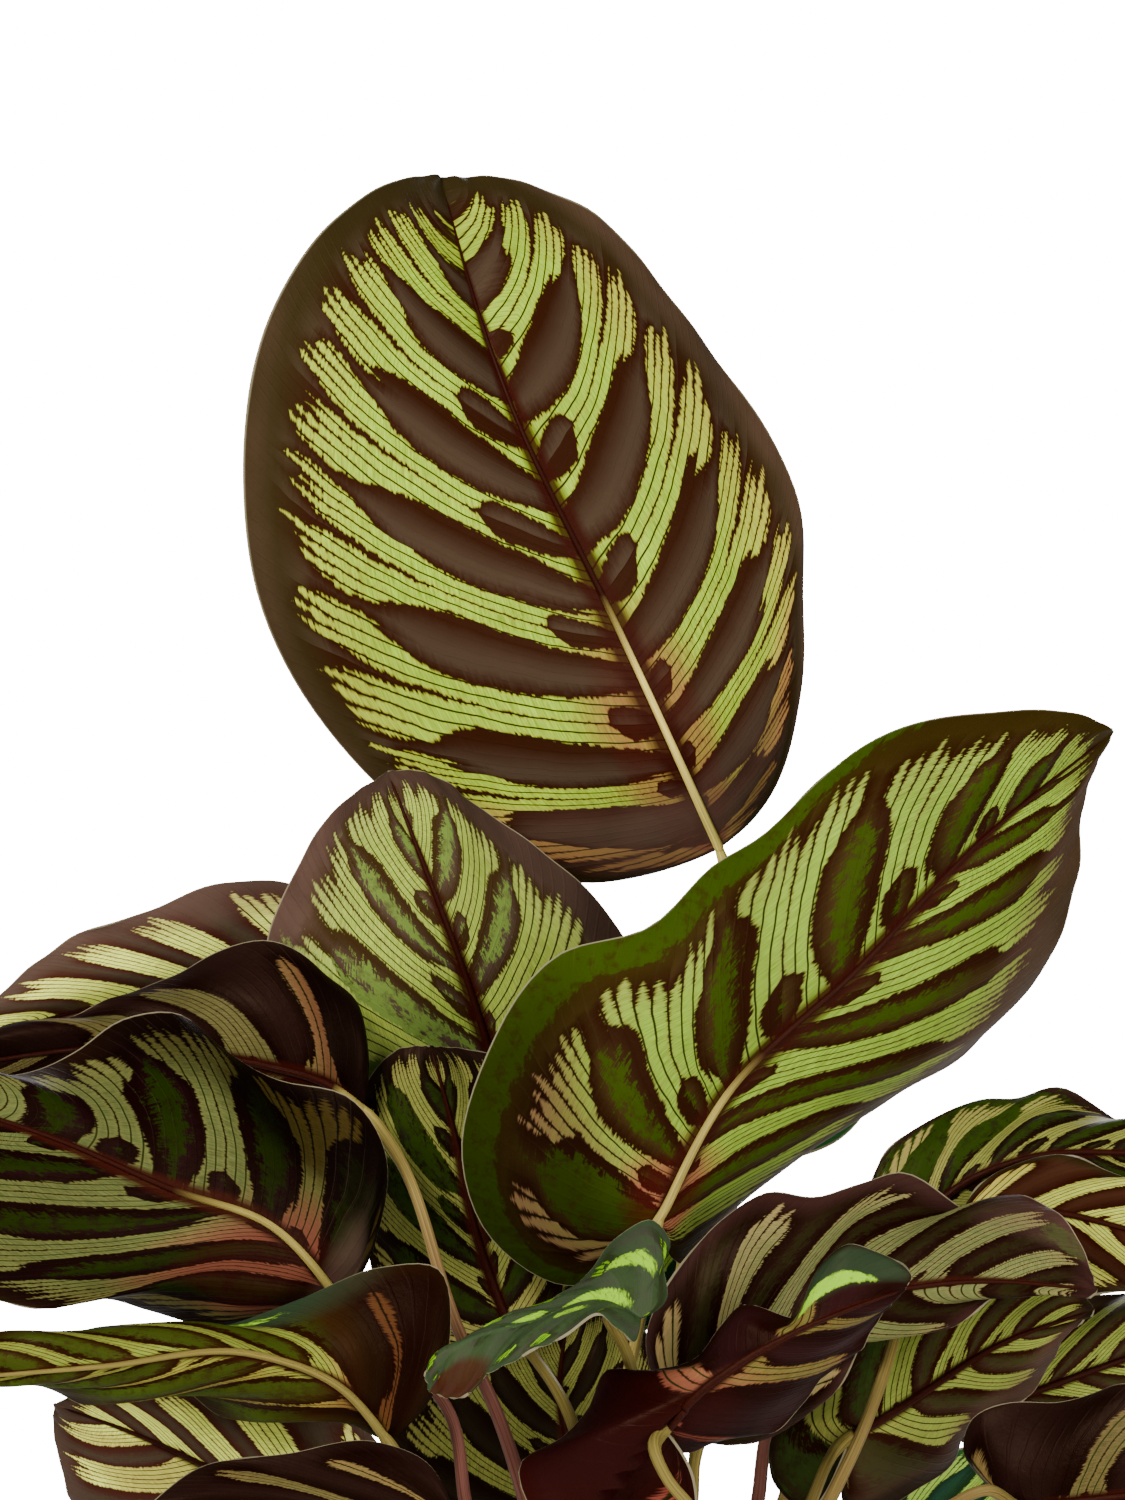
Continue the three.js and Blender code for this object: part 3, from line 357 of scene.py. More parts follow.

# Undersides: light band, dark tissue, its green mottling, dark edge and blush of the bands,
# then how wide the blotches are and how strong the mottling and the blush. Besides true
# differences between leaves, several finishes are copies of one underside made lighter for
# leaves that lie in light and darker for leaves that lie in shade: painted light and painted
# shade. pale is made so bright that it stands for light shining through the leaf from behind:
# a painted glow.
UNDERSIDES = {
    "forked": ("forked", "91b428", "2b1408", "2f5a12", "2b220d", "b08c46", 1.0, 0.0, 0.5),
    "bright": ("open", "a3aa45", "230802", "2f5a12", "241a08", "b08c46", 1.0, 0.0, 0.5),
    "sage": ("open", "8a983f", "280f05", "33481a", "241a10", "b08c56", 1.1, 0.3, 0.4),
    "mottled": ("closed", "7a992d", "230e02", "2b3c04", "2a1f04", "886a48", 1.05, 1.0, 0.5),
    "silvery": ("closed", "8fa03b", "322612", "5f7430", "3a2a22", "a09070", 1.0, 1.0, 0.3),
    "shaded": ("closed", "4b522a", "0d0101", "131f01", "180a04", "86743c", 1.15, 1.0, 0.4),
    "dusky": ("open", "5e6438", "120301", "28360e", "2c1814", "a07c50", 1.0, 0.2, 0.5),
    "olive": ("open", "74822f", "1f0c01", "34420f", "241804", "9c6c38", 1.35, 0.7, 0.5),
    "deep": ("closed", "767a36", "130702", "213107", "20120c", "a08450", 1.1, 0.8, 0.4),
    "dark": ("open", "524b28", "0f0201", "1c160a", "1a0c08", "8c6a3c", 1.3, 0.1, 0.4),
    "pale": ("open", "f4ff70", "43221c", "4a5a20", "4c3a30", "c89a74", 0.85, 0.1, 0.4),
    "maroon": ("open", "66602c", "170302", "24100a", "190504", "7c3626", 1.35, 0.0, 0.7),
}
# Upper sides, in the same order.
UPPER_SIDE = ("closed", "8aac3c", "10301a", "1c4a1e", "1f4a22", "9fb860", 1.0, 0.3, 0.3,
              "4c6a30", 0.0)
YOUNG_UPPER_SIDE = ("closed", "679a0a", "26331f", "324428", "2c3a24", "6c8c3a", 3.0, 0.6, 0.0, "34442a")


def linear(colour):
    """An sRGB hex colour as linear RGBA."""
    parts = [int(colour[i:i + 2], 16) / 255 for i in (0, 2, 4)]
    return [c / 12.92 if c <= 0.04045 else ((c + 0.055) / 1.055) ** 2.4 for c in parts] + [1]


def look_of(name):
    return {**PLAIN_LOOK, **LOOKS.get(name, {})}


# Places and curves


def place(across, down, y):
    spread = PIXEL * (EYE_DISTANCE + y) / EYE_DISTANCE
    return [EYE_X + (across - PHOTO_ACROSS) * spread, y, EYE_Z + (PHOTO_DOWN - down) * spread]


def place_all(points, depths):
    stations = np.linspace(0, len(depths) - 1, len(points))
    ys = np.interp(stations, np.arange(len(depths)), depths)
    return [place(across, down, y) for (across, down), y in zip(points, ys)]


def curve_through(points, u):
    """A smooth curve through points, run by length along them: u = 0 at the first, 1 at the last."""
    p = np.array(points, float)
    knots = np.concatenate([[0], np.cumsum(np.linalg.norm(np.diff(p, axis=0), axis=1))])
    knots /= knots[-1]
    last = len(p) - 1
    slopes = np.diff(p, axis=0) / np.diff(knots)[:, None]
    tangents = np.empty_like(p)
    tangents[0], tangents[last] = slopes[0], slopes[-1]
    for i in range(1, last):
        before, after = knots[i] - knots[i - 1], knots[i + 1] - knots[i]
        tangents[i] = (slopes[i - 1] * after + slopes[i] * before) / (before + after)
    if last > 1:
        tangents[0] = 1.5 * slopes[0] - 0.5 * tangents[1]
        tangents[last] = 1.5 * slopes[-1] - 0.5 * tangents[last - 1]
    u = np.clip(np.asarray(u, float), 0, 1)
    i = np.clip(np.searchsorted(knots, u, side="right") - 1, 0, last - 1)
    h = (knots[i + 1] - knots[i])[..., None]
    f = (u - knots[i])[..., None] / h
    return (p[i] * (2 * f**3 - 3 * f**2 + 1) + tangents[i] * h * (f**3 - 2 * f**2 + f)
            + p[i + 1] * (3 * f**2 - 2 * f**3) + tangents[i + 1] * h * (f**3 - f**2))


def front_curves(leaf):
    base, tip = leaf["rib"][0], leaf["rib"][-1]
    rib_depths, left_depths, right_depths = leaf["depths"]
    first, last = rib_depths[0], rib_depths[-1]
    return {
        "rib": place_all(leaf["rib"], rib_depths),
        "left": place_all([base, *leaf["left"], tip], [first, *left_depths, last]),
        "right": place_all([base, *leaf["right"], tip], [first, *right_depths, last]),
    }


def back_curves(leaf):
    start, end = np.array(leaf["base"], float), np.array(leaf["tip"], float)
    way = end - start
    side = np.array([-way[1], way[0]]) / math.hypot(way[0], way[1])

    def along(u, off, lift):
        across, down = start[:2] + way[:2] * u + side * off
        return place(across, down, start[2] + way[2] * u + leaf["bow"] * 4 * u * (1 - u) + lift)

    def edge(sign):
        middle = [along(u, sign * part * leaf["half"], -OVAL_CUP * part) for u, part in OVAL_STATIONS]
        return [along(0, 0, 0), *middle, along(1, 0, 0)]

    return {"rib": [along(u, 0, 0) for u in (0, 0.33, 0.67, 1)], "left": edge(1), "right": edge(-1)}


def unit(vectors):
    return vectors / np.maximum(np.linalg.norm(vectors, axis=-1, keepdims=True), 1e-9)


def blade_surface(leaf, v, t):
    """Middle of the blade at v along the side veins (0 base, 1 tip) and t across (-1 left, 1 right),
    with the underside's normal. v and t are arrays of one shape."""
    tau, left = np.abs(t), t < 0
    start = v**VEIN_START
    end = 1 - (1 - v)**VEIN_FAN
    aim = end - VEIN_BEND * (1 - tau) * 4 * v * (1 - v)
    curves = leaf["curves"]
    rib = curve_through(curves["rib"], start)
    edge = np.where(left[..., None],
                    curve_through(curves["left"], aim), curve_through(curves["right"], aim))
    across = edge - rib
    ahead = curve_through(curves["rib"], start + AHEAD) - curve_through(curves["rib"], start - AHEAD)
    sign = np.where(left, -1.0, 1.0)[..., None]
    normal = unit(np.cross(across * sign, unit(ahead)))
    width = np.linalg.norm(across, axis=-1)
    part = 1 - (1 - tau)**VEIN_ARCH
    bulge = np.where(left, leaf["bulge"][0], leaf["bulge"][1]) * width * 4 * part * (1 - part)
    height, count, phase = leaf["wave"]
    turn = count * end + phase + np.where(left, LEFT_LAG, 0)
    wave = height * tau**2 * np.minimum(1, width / WAVE_ROOM) * np.sin(2 * np.pi * turn)
    return rib + across * part[..., None] + normal * (bulge + wave)[..., None], normal


# Meshes


def shaped_grid(name, columns, rows, points):
    """A grid primitive whose vertices are put on points[row][column], in millimetres."""
    bpy.ops.object.select_all(action="DESELECT")
    bpy.ops.mesh.primitive_grid_add(x_subdivisions=columns, y_subdivisions=rows, size=2)
    piece = bpy.context.object
    piece.name = piece.data.name = name
    piece.data.vertices.foreach_set("co", (points * MM).reshape(-1).astype(np.float32))
    return piece


def add_vectors(mesh, name, values):
    attribute = mesh.attributes.new(name, "FLOAT_VECTOR", "POINT")
    attribute.data.foreach_set("vector", values.reshape(-1).astype(np.float32))


def choose(piece):
    bpy.ops.object.select_all(action="DESELECT")
    piece.select_set(True)
    bpy.context.view_layer.objects.active = piece


def weld(piece, distance):
    choose(piece)
    bpy.ops.object.mode_set(mode="EDIT")
    bpy.ops.mesh.select_all(action="SELECT")
    bpy.ops.mesh.remove_doubles(threshold=distance)
    bpy.ops.object.mode_set(mode="OBJECT")


def smooth(piece, angle=math.radians(50)):
    choose(piece)
    bpy.ops.object.shade_smooth_by_angle(angle=angle)


def tube(name, centres, radii, sides, run, look):
    """A closed tapered tube along centres; the attribute run holds length, place round it and
    pinkness, and tint its paleness, which is partly a painted highlight."""
    rings = len(centres)
    ahead = unit(np.gradient(centres, axis=0))
    spoke = np.array([1.0, 0.2, 0.1])
    points = np.empty((rings, sides + 1, 3))
    runs = np.empty((rings, sides + 1, 3))
    turns = np.linspace(0, 2 * np.pi, sides + 1)
    for i in range(rings):
        spoke = unit(spoke - ahead[i] * np.dot(spoke, ahead[i]))
        other = np.cross(ahead[i], spoke)
        ring = np.outer(np.cos(turns), spoke) + np.outer(np.sin(turns), other)
        points[i] = centres[i] + ring * radii[i]
        runs[i, :, 0], runs[i, :, 1], runs[i, :, 2] = run[i], turns / (2 * np.pi), look["pink"]
    piece = shaped_grid(name, sides, rings - 1, points)
    add_vectors(piece.data, "run", runs)
    add_vectors(piece.data, "tint", np.full_like(runs, look["pale"]))
    weld(piece, TUBE_WELD)
    return piece


def make_stem(leaf):
    curves = leaf["curves"]
    base = np.array(curves["rib"][0])
    _, normals = blade_surface(leaf, np.array([0.05, 0.05]), np.array([-0.05, 0.05]))
    normal = unit(normals.sum(axis=0))
    along = unit(curve_through(curves["rib"], 0.03) - base)
    foot = [*leaf["foot"], STEM_FREE_Z]
    way = [foot, *[place(*stop) for stop in reversed(leaf["stem"])]]
    if "stemTop" in leaf:
        way.append(place(*leaf["stemTop"]))
    else:
        # The top runs on inside the midrib, so that one goes over into the other.
        way += [base + normal * RIDGE * 0.6, base + normal * RIDGE * 0.8 + along * 5]
    u = np.linspace(0, 1, STEM_RINGS)
    path = curve_through(way, u)
    below = [[*leaf["foot"], z] for z in np.linspace(STEM_FOOT_Z, STEM_FREE_Z - 2, 5)]
    centres = np.vstack([below, path])
    part = np.concatenate([np.zeros(5), u])
    swelling = STEM_SWELLING * np.exp(-((part - SWELLING_AT) / SWELLING_LENGTH)**2)
    ends = np.where(np.arange(len(centres)) == len(centres) - 1, CLOSED, 1)
    radii = (STEM_TOP + (STEM_FOOT - STEM_TOP) * (1 - part)**2 + swelling) * ends
    radii[0] = CLOSED
    radii[-2] *= 0.8
    return tube("peacock_stem_" + leaf["name"], centres, radii, STEM_SIDES, part, look_of(leaf["name"]))


def make_ridge(leaf):
    """The midrib: a tapered half-sunk cord along the underside, from the stem to the tip."""
    v = np.linspace(0, RIDGE_END, STEM_RINGS)
    v_inside = np.clip(v, 0.02, 1)
    _, normal_left = blade_surface(leaf, v_inside, np.full(STEM_RINGS, -BESIDE_RIB))
    _, normal_right = blade_surface(leaf, v_inside, np.full(STEM_RINGS, BESIDE_RIB))
    rib = curve_through(leaf["curves"]["rib"], v**VEIN_START)
    normal = unit(normal_left + normal_right)
    size = RIDGE_TIP + (RIDGE - RIDGE_TIP) * (1 - v)**0.8
    size[0], size[-1] = 1, 0.05
    look = look_of(leaf["name"])
    if look["finish"] == "young":
        size *= 0.5
    centres = rib + normal * np.maximum(BLADE_THICKNESS / 2 + size * 0.3, size - 0.3)[:, None]
    run = 1 + v * 0.55 / look["tan"]
    return tube("peacock_midrib_" + leaf["name"], centres, size, RIDGE_SIDES, run, look)


def blotch_count(places, part):
    """Whole numbers where part is at one of the places, even steps between and beyond them."""
    low, high = 2 * places[0] - places[1], 2 * places[-1] - places[-2]
    return np.interp(part, [low - 5 * (places[1] - places[0]), low, *places, high],
                     [-6, -1, *range(len(places) + 1)])


def patch_strength(name, kind, part, t):
    """How strongly one kind of local colour shows, fading softly from each patch's middle."""
    total = np.zeros_like(t)
    for patch_kind, middle, across, half_length, half_width, strength in PATCHES.get(name, []):
        if patch_kind == kind:
            far = ((part - middle) / half_length)**2 + ((t - across) / half_width)**2
            total += strength * np.clip(1.5 * (1 - far), 0, 1)
    return np.clip(total, -1, 1)


def make_blade(leaf, finishes):
    name = leaf["name"]
    look = look_of(name)
    v = (1 - np.cos(np.pi * np.linspace(0, 1, BLADE_ROWS + 1))) / 2
    t = np.linspace(-1, 1, BLADE_STRIPS + 1)
    v, t = np.meshgrid(v, t, indexing="ij")
    points, _ = blade_surface(leaf, v, t)
    _, normals = blade_surface(leaf, np.clip(v, 0.03, 0.98), np.where(np.abs(t) < 0.02, 0.02, t))
    tau, right, part = np.abs(t), t > 0, v**VEIN_START
    patch = {kind: patch_strength(name, kind, part, t)
             for kind in ("flush", "green", "upper", "lime", "swell", "painted_sheen", "painted_shade", "margin")}

    counts = []
    for side, (climb, fall) in zip(("left", "right"), look["arch"]):
        turn = fall * tau * part * (1 - part**6)
        counts.append(blotch_count(look[side], part - climb * (1 - (1 - tau)**3) + turn))
    # The dark edge goes on round the base and the tip, where the blade is narrow.
    reach = np.where(right, look["reach"][1], look["reach"][0]) - patch["margin"]
    middle = points[:, BLADE_STRIPS // 2]
    widths = [np.linalg.norm(points[:, side] - middle, axis=-1)[:, None] for side in (0, -1)]
    room = np.where(right, widths[1] / widths[1].max(), widths[0] / widths[0].max())
    outward = 1 - (1 - np.minimum(tau / reach, 1)) * np.clip(room / NARROW, 0, 1)
    outward = outward * np.where(right, 1, -1)

    # The blade is quilted between its side veins, and its edge is a little uneven.
    seed = sum(ord(letter) for letter in name)
    phase = 2 * np.pi * np.where(right, counts[1], counts[0])
    quilt = QUILT * (np.cos(phase + 0.8) + 0.35 * np.cos(2 * phase))
    quilt = quilt * np.sin(np.pi * np.minimum(tau * 1.1, 1))
    ripple = RIPPLE * tau**6 * (np.sin(v * 41 + seed) + np.sin(v * 67 + 2 * seed + t))
    fade = np.minimum(1, np.minimum(v, 1 - v) * 8)
    points = points + normals * ((quilt + ripple) * fade)[..., None]

    piece = shaped_grid("peacock_blade_" + name, BLADE_STRIPS, BLADE_ROWS, points)
    swell = 1 + look["base"] * np.clip((BASE_PART - part) / BASE_PART, 0, 1) + patch["swell"]
    shrink = np.where(right, look["ovals"][1], look["ovals"][0])
    shrink = shrink * (1 + look["ovals"][2] * np.clip(1 - part / OVAL_PART, 0, 1))
    # veil carries the haze and dim patches, painted sheen and painted shade, and the shrink of the ovals.
    for key, values in {
        "pattern": (*counts, outward),
        "cast": (t, patch["flush"], patch["green"]),
        "curl": (patch["upper"], patch["lime"], swell),
        "sheen_shade_ovals": (patch["painted_sheen"], patch["painted_shade"], shrink),
    }.items():
        add_vectors(piece.data, key, np.stack(values, axis=-1))
    weld(piece, BLADE_WELD)
    for slot in finishes:
        piece.data.materials.append(slot)
    solid = piece.modifiers.new("thickness", "SOLIDIFY")
    solid.thickness = BLADE_THICKNESS * MM
    solid.offset = 0
    solid.material_offset = 1
    bpy.ops.object.modifier_apply(modifier="thickness")
    smooth(piece)
    return piece


# Finishes

# Each kind of node: its type, the sockets that take its values in order, the output that is
# handed on, and its settings.
IN_ORDER = (0, 1, 2)
SUM, MINUS, TIMES, TIMES_PLUS, LARGER, ABOVE, SIZE, WHOLE, FRACTION, PINGPONG = [
    ("ShaderNodeMath", IN_ORDER, 0, {"operation": operation})
    for operation in ("ADD", "SUBTRACT", "MULTIPLY", "MULTIPLY_ADD", "MAXIMUM", "GREATER_THAN", "ABSOLUTE",
                      "FLOOR", "FRACT", "PINGPONG")]
MIX_VALUES, BLEND, TINT = [
    ("ShaderNodeMix", ("Factor", "A", "B"), "Result", settings)
    for settings in ({}, {"data_type": "RGBA"}, {"data_type": "RGBA", "blend_type": "MULTIPLY"})]
SPREAD = ("ShaderNodeMapRange", ("Value", "From Min", "From Max", "To Min", "To Max"), 0, {})
CURVE = ("ShaderNodeFloatCurve", ("Value",), 0, {})
SPLIT = ("ShaderNodeSeparateXYZ", IN_ORDER, 0, {})
JOIN = ("ShaderNodeCombineXYZ", IN_ORDER, 0, {})
NOISE = ("ShaderNodeTexNoise", ("Vector", "Scale", "Detail", "Roughness"), 0, {})
CELLS = ("ShaderNodeTexVoronoi", ("Vector", "Scale"), "Distance", {})
STEP = ("ShaderNodeTexWhiteNoise", ("W",), 0, {"noise_dimensions": "1D"})
SPECK = ("ShaderNodeTexWhiteNoise", ("Vector",), 0, {})
ATTRIBUTE = ("ShaderNodeAttribute", (), "Vector", {})
COORDINATES = ("ShaderNodeTexCoord", (), "Object", {})
LIGHT_PATH = ("ShaderNodeLightPath", (), "Is Camera Ray", {})
BUMP = ("ShaderNodeBump", ("Strength", "Distance", "Height"), 0, {})
SURFACE = ("ShaderNodeBsdfPrincipled",
           ("Base Color", "Roughness", "Normal", "Specular IOR Level", "Specular Tint", "IOR"), 0, {})
SKY = ("ShaderNodeBackground", ("Color", "Strength"), 0, {})
OUTPUT = ("ShaderNodeOutputMaterial", IN_ORDER, None, {})
WORLD_OUTPUT = ("ShaderNodeOutputWorld", IN_ORDER, None, {})
FINE_VEINS = 10
# Colours that all leaves share; SHEEN_GREY is the grey of a painted sheen.
MIDRIB, FINE_VEIN, RIM, SHEEN_GREY = "2c0a05", "1d2608", "8d8466", "5a4238"
RED_BAND, RED_TISSUE, CURLED_OVER, BRIGHT_STREAK = "8a3c38", "3a0806", "23301e", "86b81c"

# Three kinds of pattern, each with four half widths from the midrib (0) to the edge (1): of a dark
# blotch, of the small oval and of the outer wedge between two blotches, as parts of the step
# from one blotch to the next, and of the dark line along each fine vein, as a part of the step
# between fine veins, which widens outward until the last fingers of light close.
SHAPES = {
    "forked": (
        [(0, 0.15), (0.08, 0.22), (0.2, 0.28), (0.36, 0.31), (0.47, 0.28), (0.56, 0.18), (0.62, 0.1),
         (0.7, 0.06), (0.78, 0.08), (0.86, 0.3), (1, 0.5)],
        [(0, 0.05), (0.05, 0.13), (0.12, 0.18), (0.2, 0.19), (0.25, 0.14), (0.29, 0.02), (0.35, 0), (1, 0)],
        [(0, 0), (0.4, 0.005), (0.55, 0.03), (0.68, 0.05), (0.78, 0.09), (0.86, 0.2), (1, 0.4)],
        [(0, 0), (0.5, 0), (0.62, 0.18), (0.7, 0.26), (0.76, 0.36), (0.81, 0.52), (0.86, 0.74), (1, 0.9)]),
    "closed": (
        [(0, 0.1), (0.1, 0.2), (0.25, 0.27), (0.45, 0.28), (0.6, 0.2), (0.7, 0.1), (0.8, 0.1), (0.88, 0.35),
         (1, 0.5)],
        [(0, 0.03), (0.04, 0.1), (0.1, 0.17), (0.17, 0.17), (0.22, 0.1), (0.25, 0.02), (0.3, 0), (1, 0)],
        [(0, 0), (0.4, 0), (0.6, 0.01), (0.75, 0.03), (0.85, 0.12), (1, 0.4)],
        [(0, 0), (0.5, 0), (0.65, 0.2), (0.74, 0.34), (0.82, 0.58), (0.88, 0.8), (1, 0.9)]),
    "open": (
        [(0, 0.12), (0.1, 0.22), (0.25, 0.27), (0.6, 0.26), (0.75, 0.3), (0.88, 0.42), (1, 0.5)],
        [(0, 0.03), (0.05, 0.06), (0.1, 0.06), (0.14, 0.01), (0.2, 0), (1, 0)],
        [(0, 0), (0.7, 0.004), (0.85, 0.08), (1, 0.4)],
        [(0, 0), (0.55, 0), (0.72, 0.22), (0.8, 0.38), (0.87, 0.62), (0.92, 0.84), (1, 0.9)]),
}


def add_node(tree, kind, *values, out=None, stops=(), **settings):
    """Adds one node of a kind and returns one of its outputs. Each value is set, or linked where it
    is another node's output; stops are the points of a curve."""
    type_name, sockets, usual_out, usual_settings = kind
    node = tree.nodes.new(type_name)
    for key, value in {**usual_settings, **settings}.items():
        setattr(node, key, value)
    if stops:
        points = node.mapping.curves[0].points
        points[0].location, points[-1].location = stops[0], stops[-1]
        for stop in stops[1:-1]:
            points.new(*stop)
        for point in points:
            point.handle_type = "AUTO_CLAMPED"
        node.mapping.update()
    for socket, value in zip(sockets, values):
        if isinstance(value, bpy.types.NodeSocket):
            tree.links.new(value, node.inputs[socket])
        else:
            node.inputs[socket].default_value = value
    return node.outputs[out or usual_out] if node.outputs else None


def new_finish(name):
    """An empty material, and add_node bound to its nodes."""
    finish = bpy.data.materials.new(name)
    finish.use_nodes = True
    finish.node_tree.nodes.clear()
    return finish, functools.partial(add_node, finish.node_tree)


def leaf_tissue(name, shape, light, dark, mottle, edge, blush, share, mottling, blushing,
                rib=MIDRIB, local=1.0):
    """One side of a living peacock plant leaf: satin, with lit green bands, fine dark veins and
    short cross veins, and dark ovals along the side veins that close into a dark edge. Over the
    ovals and in patches it carries painted sheen and painted shade."""
    finish, add = new_finish(name)
    light, dark, mottle, edge, blush = (linear(colour) for colour in (light, dark, mottle, edge, blush))
    # deep is the dark tissue darkened into painted shade, mauve the same lit up into a capped greyish
    # painted sheen.
    deep = [c * part for c, part in zip(dark, (0.9, 0.75, 0.6, 1))]
    sheen_tissue = [min(c * part, most) for c, part, most in zip(dark, (1.9, 4, 6.5, 1), (0.06, 0.036, 0.024, 1))]
    blotch_shape, oval_shape, wedge_shape, fine_shape = SHAPES[shape]

    pattern = add(ATTRIBUTE, attribute_name="pattern")
    left_count, right_count, across = add(SPLIT, pattern).node.outputs
    cast = add(ATTRIBUTE, attribute_name="cast")
    from_rib, flush, green = add(SPLIT, cast).node.outputs
    flush = add(TIMES, flush, local)
    curl = add(ATTRIBUTE, attribute_name="curl")
    upper, lime, swell = add(SPLIT, curl).node.outputs
    # veil holds the painted sheen, the painted shade and how much the ovals shrink.
    sheen_shade_ovals = add(ATTRIBUTE, attribute_name="sheen_shade_ovals")
    painted_sheen, painted_shade, shrink = add(SPLIT, sheen_shade_ovals).node.outputs
    painted_sheen = add(TIMES, painted_sheen, local)
    spot = add(COORDINATES)
    tau = add(SIZE, across)
    from_rib = add(SIZE, from_rib)
    is_right = add(ABOVE, across, 0.0)

    # count is whole on the axis of each dark blotch, and wanders a little in 15 mm waves.
    count = add(MIX_VALUES, is_right, left_count, right_count)
    drift = add(NOISE, spot, 60.0, 2.0)
    count = add(TIMES_PLUS, drift, 0.08, count)
    to_axis = add(PINGPONG, count, 0.5)
    fine_count = add(TIMES, count, float(FINE_VEINS))
    number = add(WHOLE, fine_count)
    side_number = add(TIMES_PLUS, is_right, 37.0, number)

    # Between two fine veins the colours stop at their own distance, and short cross veins make
    # the edge between light and dark a fine comb.
    step = add(STEP, side_number)
    stepped = add(TIMES_PLUS, step, 0.1, add(SUM, tau, -0.05))
    tooth = add(TIMES, tau, 150.0)
    tooth = add(JOIN, add(WHOLE, tooth), number)
    tooth = add(SPECK, tooth)
    blotch = add(CURVE, stepped, stops=blotch_shape)
    blotch = add(TIMES, blotch, add(TIMES, swell, share))
    blotch = add(MINUS, blotch, to_axis)
    oval = add(CURVE, add(TIMES, tau, shrink), stops=oval_shape)
    wedge = add(CURVE, stepped, stops=wedge_shape)
    wedge = add(LARGER, wedge, oval)
    wedge = add(SUM, add(SUM, wedge, to_axis), -0.5)
    to_vein = add(PINGPONG, fine_count, 0.5)
    finger = add(CURVE, stepped, stops=fine_shape)
    finger = add(MINUS, finger, to_vein)
    finger = add(TIMES_PLUS, finger, 1 / FINE_VEINS, -0.02)
    inside = add(LARGER, blotch, wedge)
    inside = add(LARGER, inside, finger)
    inside = add(TIMES_PLUS, tooth, 0.036, add(SUM, inside, -0.018))
    darkness = add(SPREAD, inside, -0.012, 0.012)

    # The lit band: hatched across the veins, cloudy, and blushed where it meets the dark.
    hatch = add(JOIN, add(TIMES, fine_count, 0.6), add(TIMES, tau, 170.0))
    hatch = add(NOISE, hatch, 1.0, 1.0)
    hatch = add(SPREAD, hatch, 0.3, 0.7, 0.64, 1.28)
    cloud = add(NOISE, spot, 35.0, 3.0)
    shade = add(SPREAD, cloud, 0.3, 0.7, 0.82, 1.15)
    shade = add(TIMES, shade, hatch)
    band = add(TINT, 1.0, light, shade)
    near_dark = add(SPREAD, inside, -0.06, 0.0, 0, 0.5)
    near_end = add(SPREAD, tau, 0.6, 0.9, 0, 0.4)
    blushed = add(SUM, near_dark, near_end)
    swollen = add(TIMES_PLUS, swell, 2.0, -2.0)
    blushed = add(SUM, blushed, swollen)
    blushed = add(TIMES, blushed, blushing, use_clamp=True)
    band = add(BLEND, blushed, band, blush)
    reddened = add(TIMES, flush, 1.1, use_clamp=True)
    reddened = add(TIMES, reddened, 0.8)
    band = add(BLEND, reddened, band, linear(RED_BAND))
    vein = add(SPREAD, to_vein, 0.05, 0.11, 1.0, 0.0)
    band = add(BLEND, vein, band, linear(FINE_VEIN))

    # The dark tissue: painted paler and greyer on the side of each oval that faces the base, where
    # the quilted blade meets the light (painted sheen and painted light), and darker elsewhere as
    # painted shade; green within it where the leaf is mottled, brown along the edge.
    side = add(SUM, count, 0.5)
    side = add(FRACTION, side)
    lift = add(SPREAD, side, 0.7, 0.45)
    within = add(SPREAD, inside, 0.03, 0.16)
    lift = add(TIMES, lift, within)
    tissue = add(BLEND, lift, deep, sheen_tissue)
    to_edge = add(SPREAD, tau, 0.78, 0.92)
    tissue = add(BLEND, to_edge, tissue, edge)
    grain = add(NOISE, spot, 240.0, 5.0, 0.7)
    streak = add(JOIN, add(TIMES, fine_count, 1.3), add(TIMES, tau, 16.0))
    streak = add(NOISE, streak, 1.0, 5.0, 0.72)
    ragged = add(TIMES_PLUS, streak, 0.5, inside)
    ragged = add(TIMES_PLUS, tooth, 0.05, ragged)
    depth = add(SPREAD, ragged, 0.435, 0.465)
    depth = add(TIMES, depth, add(SUM, green, mottling, use_clamp=True))
    middle = add(SPREAD, tau, 0.85, 0.65)
    mottled = add(TIMES, depth, middle)
    patchy = add(TIMES_PLUS, streak, 1.4, green)
    patchy = add(SPREAD, patchy, 1.2, 1.3)
    mottled = add(LARGER, mottled, patchy)
    speck = add(SPREAD, grain, 0.36, 0.5, 0.35)
    mottled = add(TIMES, mottled, speck)
    tissue = add(BLEND, mottled, tissue, mottle)
    redness = add(SPREAD, flush, 0.5, 1.0, 0, 0.7)
    tissue = add(BLEND, redness, tissue, linear(RED_TISSUE))

    colour = add(BLEND, darkness, band, tissue)
    # Beside the midrib the blade takes the rib's dark maroon: partly its own colour, partly painted shade in
    # the folds along the rib.
    rib_maroon_and_shade = add(SPREAD, from_rib, 0.03, 0.062, 0.95, 0.0)
    colour = add(BLEND, rib_maroon_and_shade, colour, linear(rib))
    # Painted shade: darker where the dim patches mark parts of a blade that lie deeper among the other
    # leaves.
    shaded = add(TINT, painted_shade, colour, (0.2, 0.15, 0.1, 1))
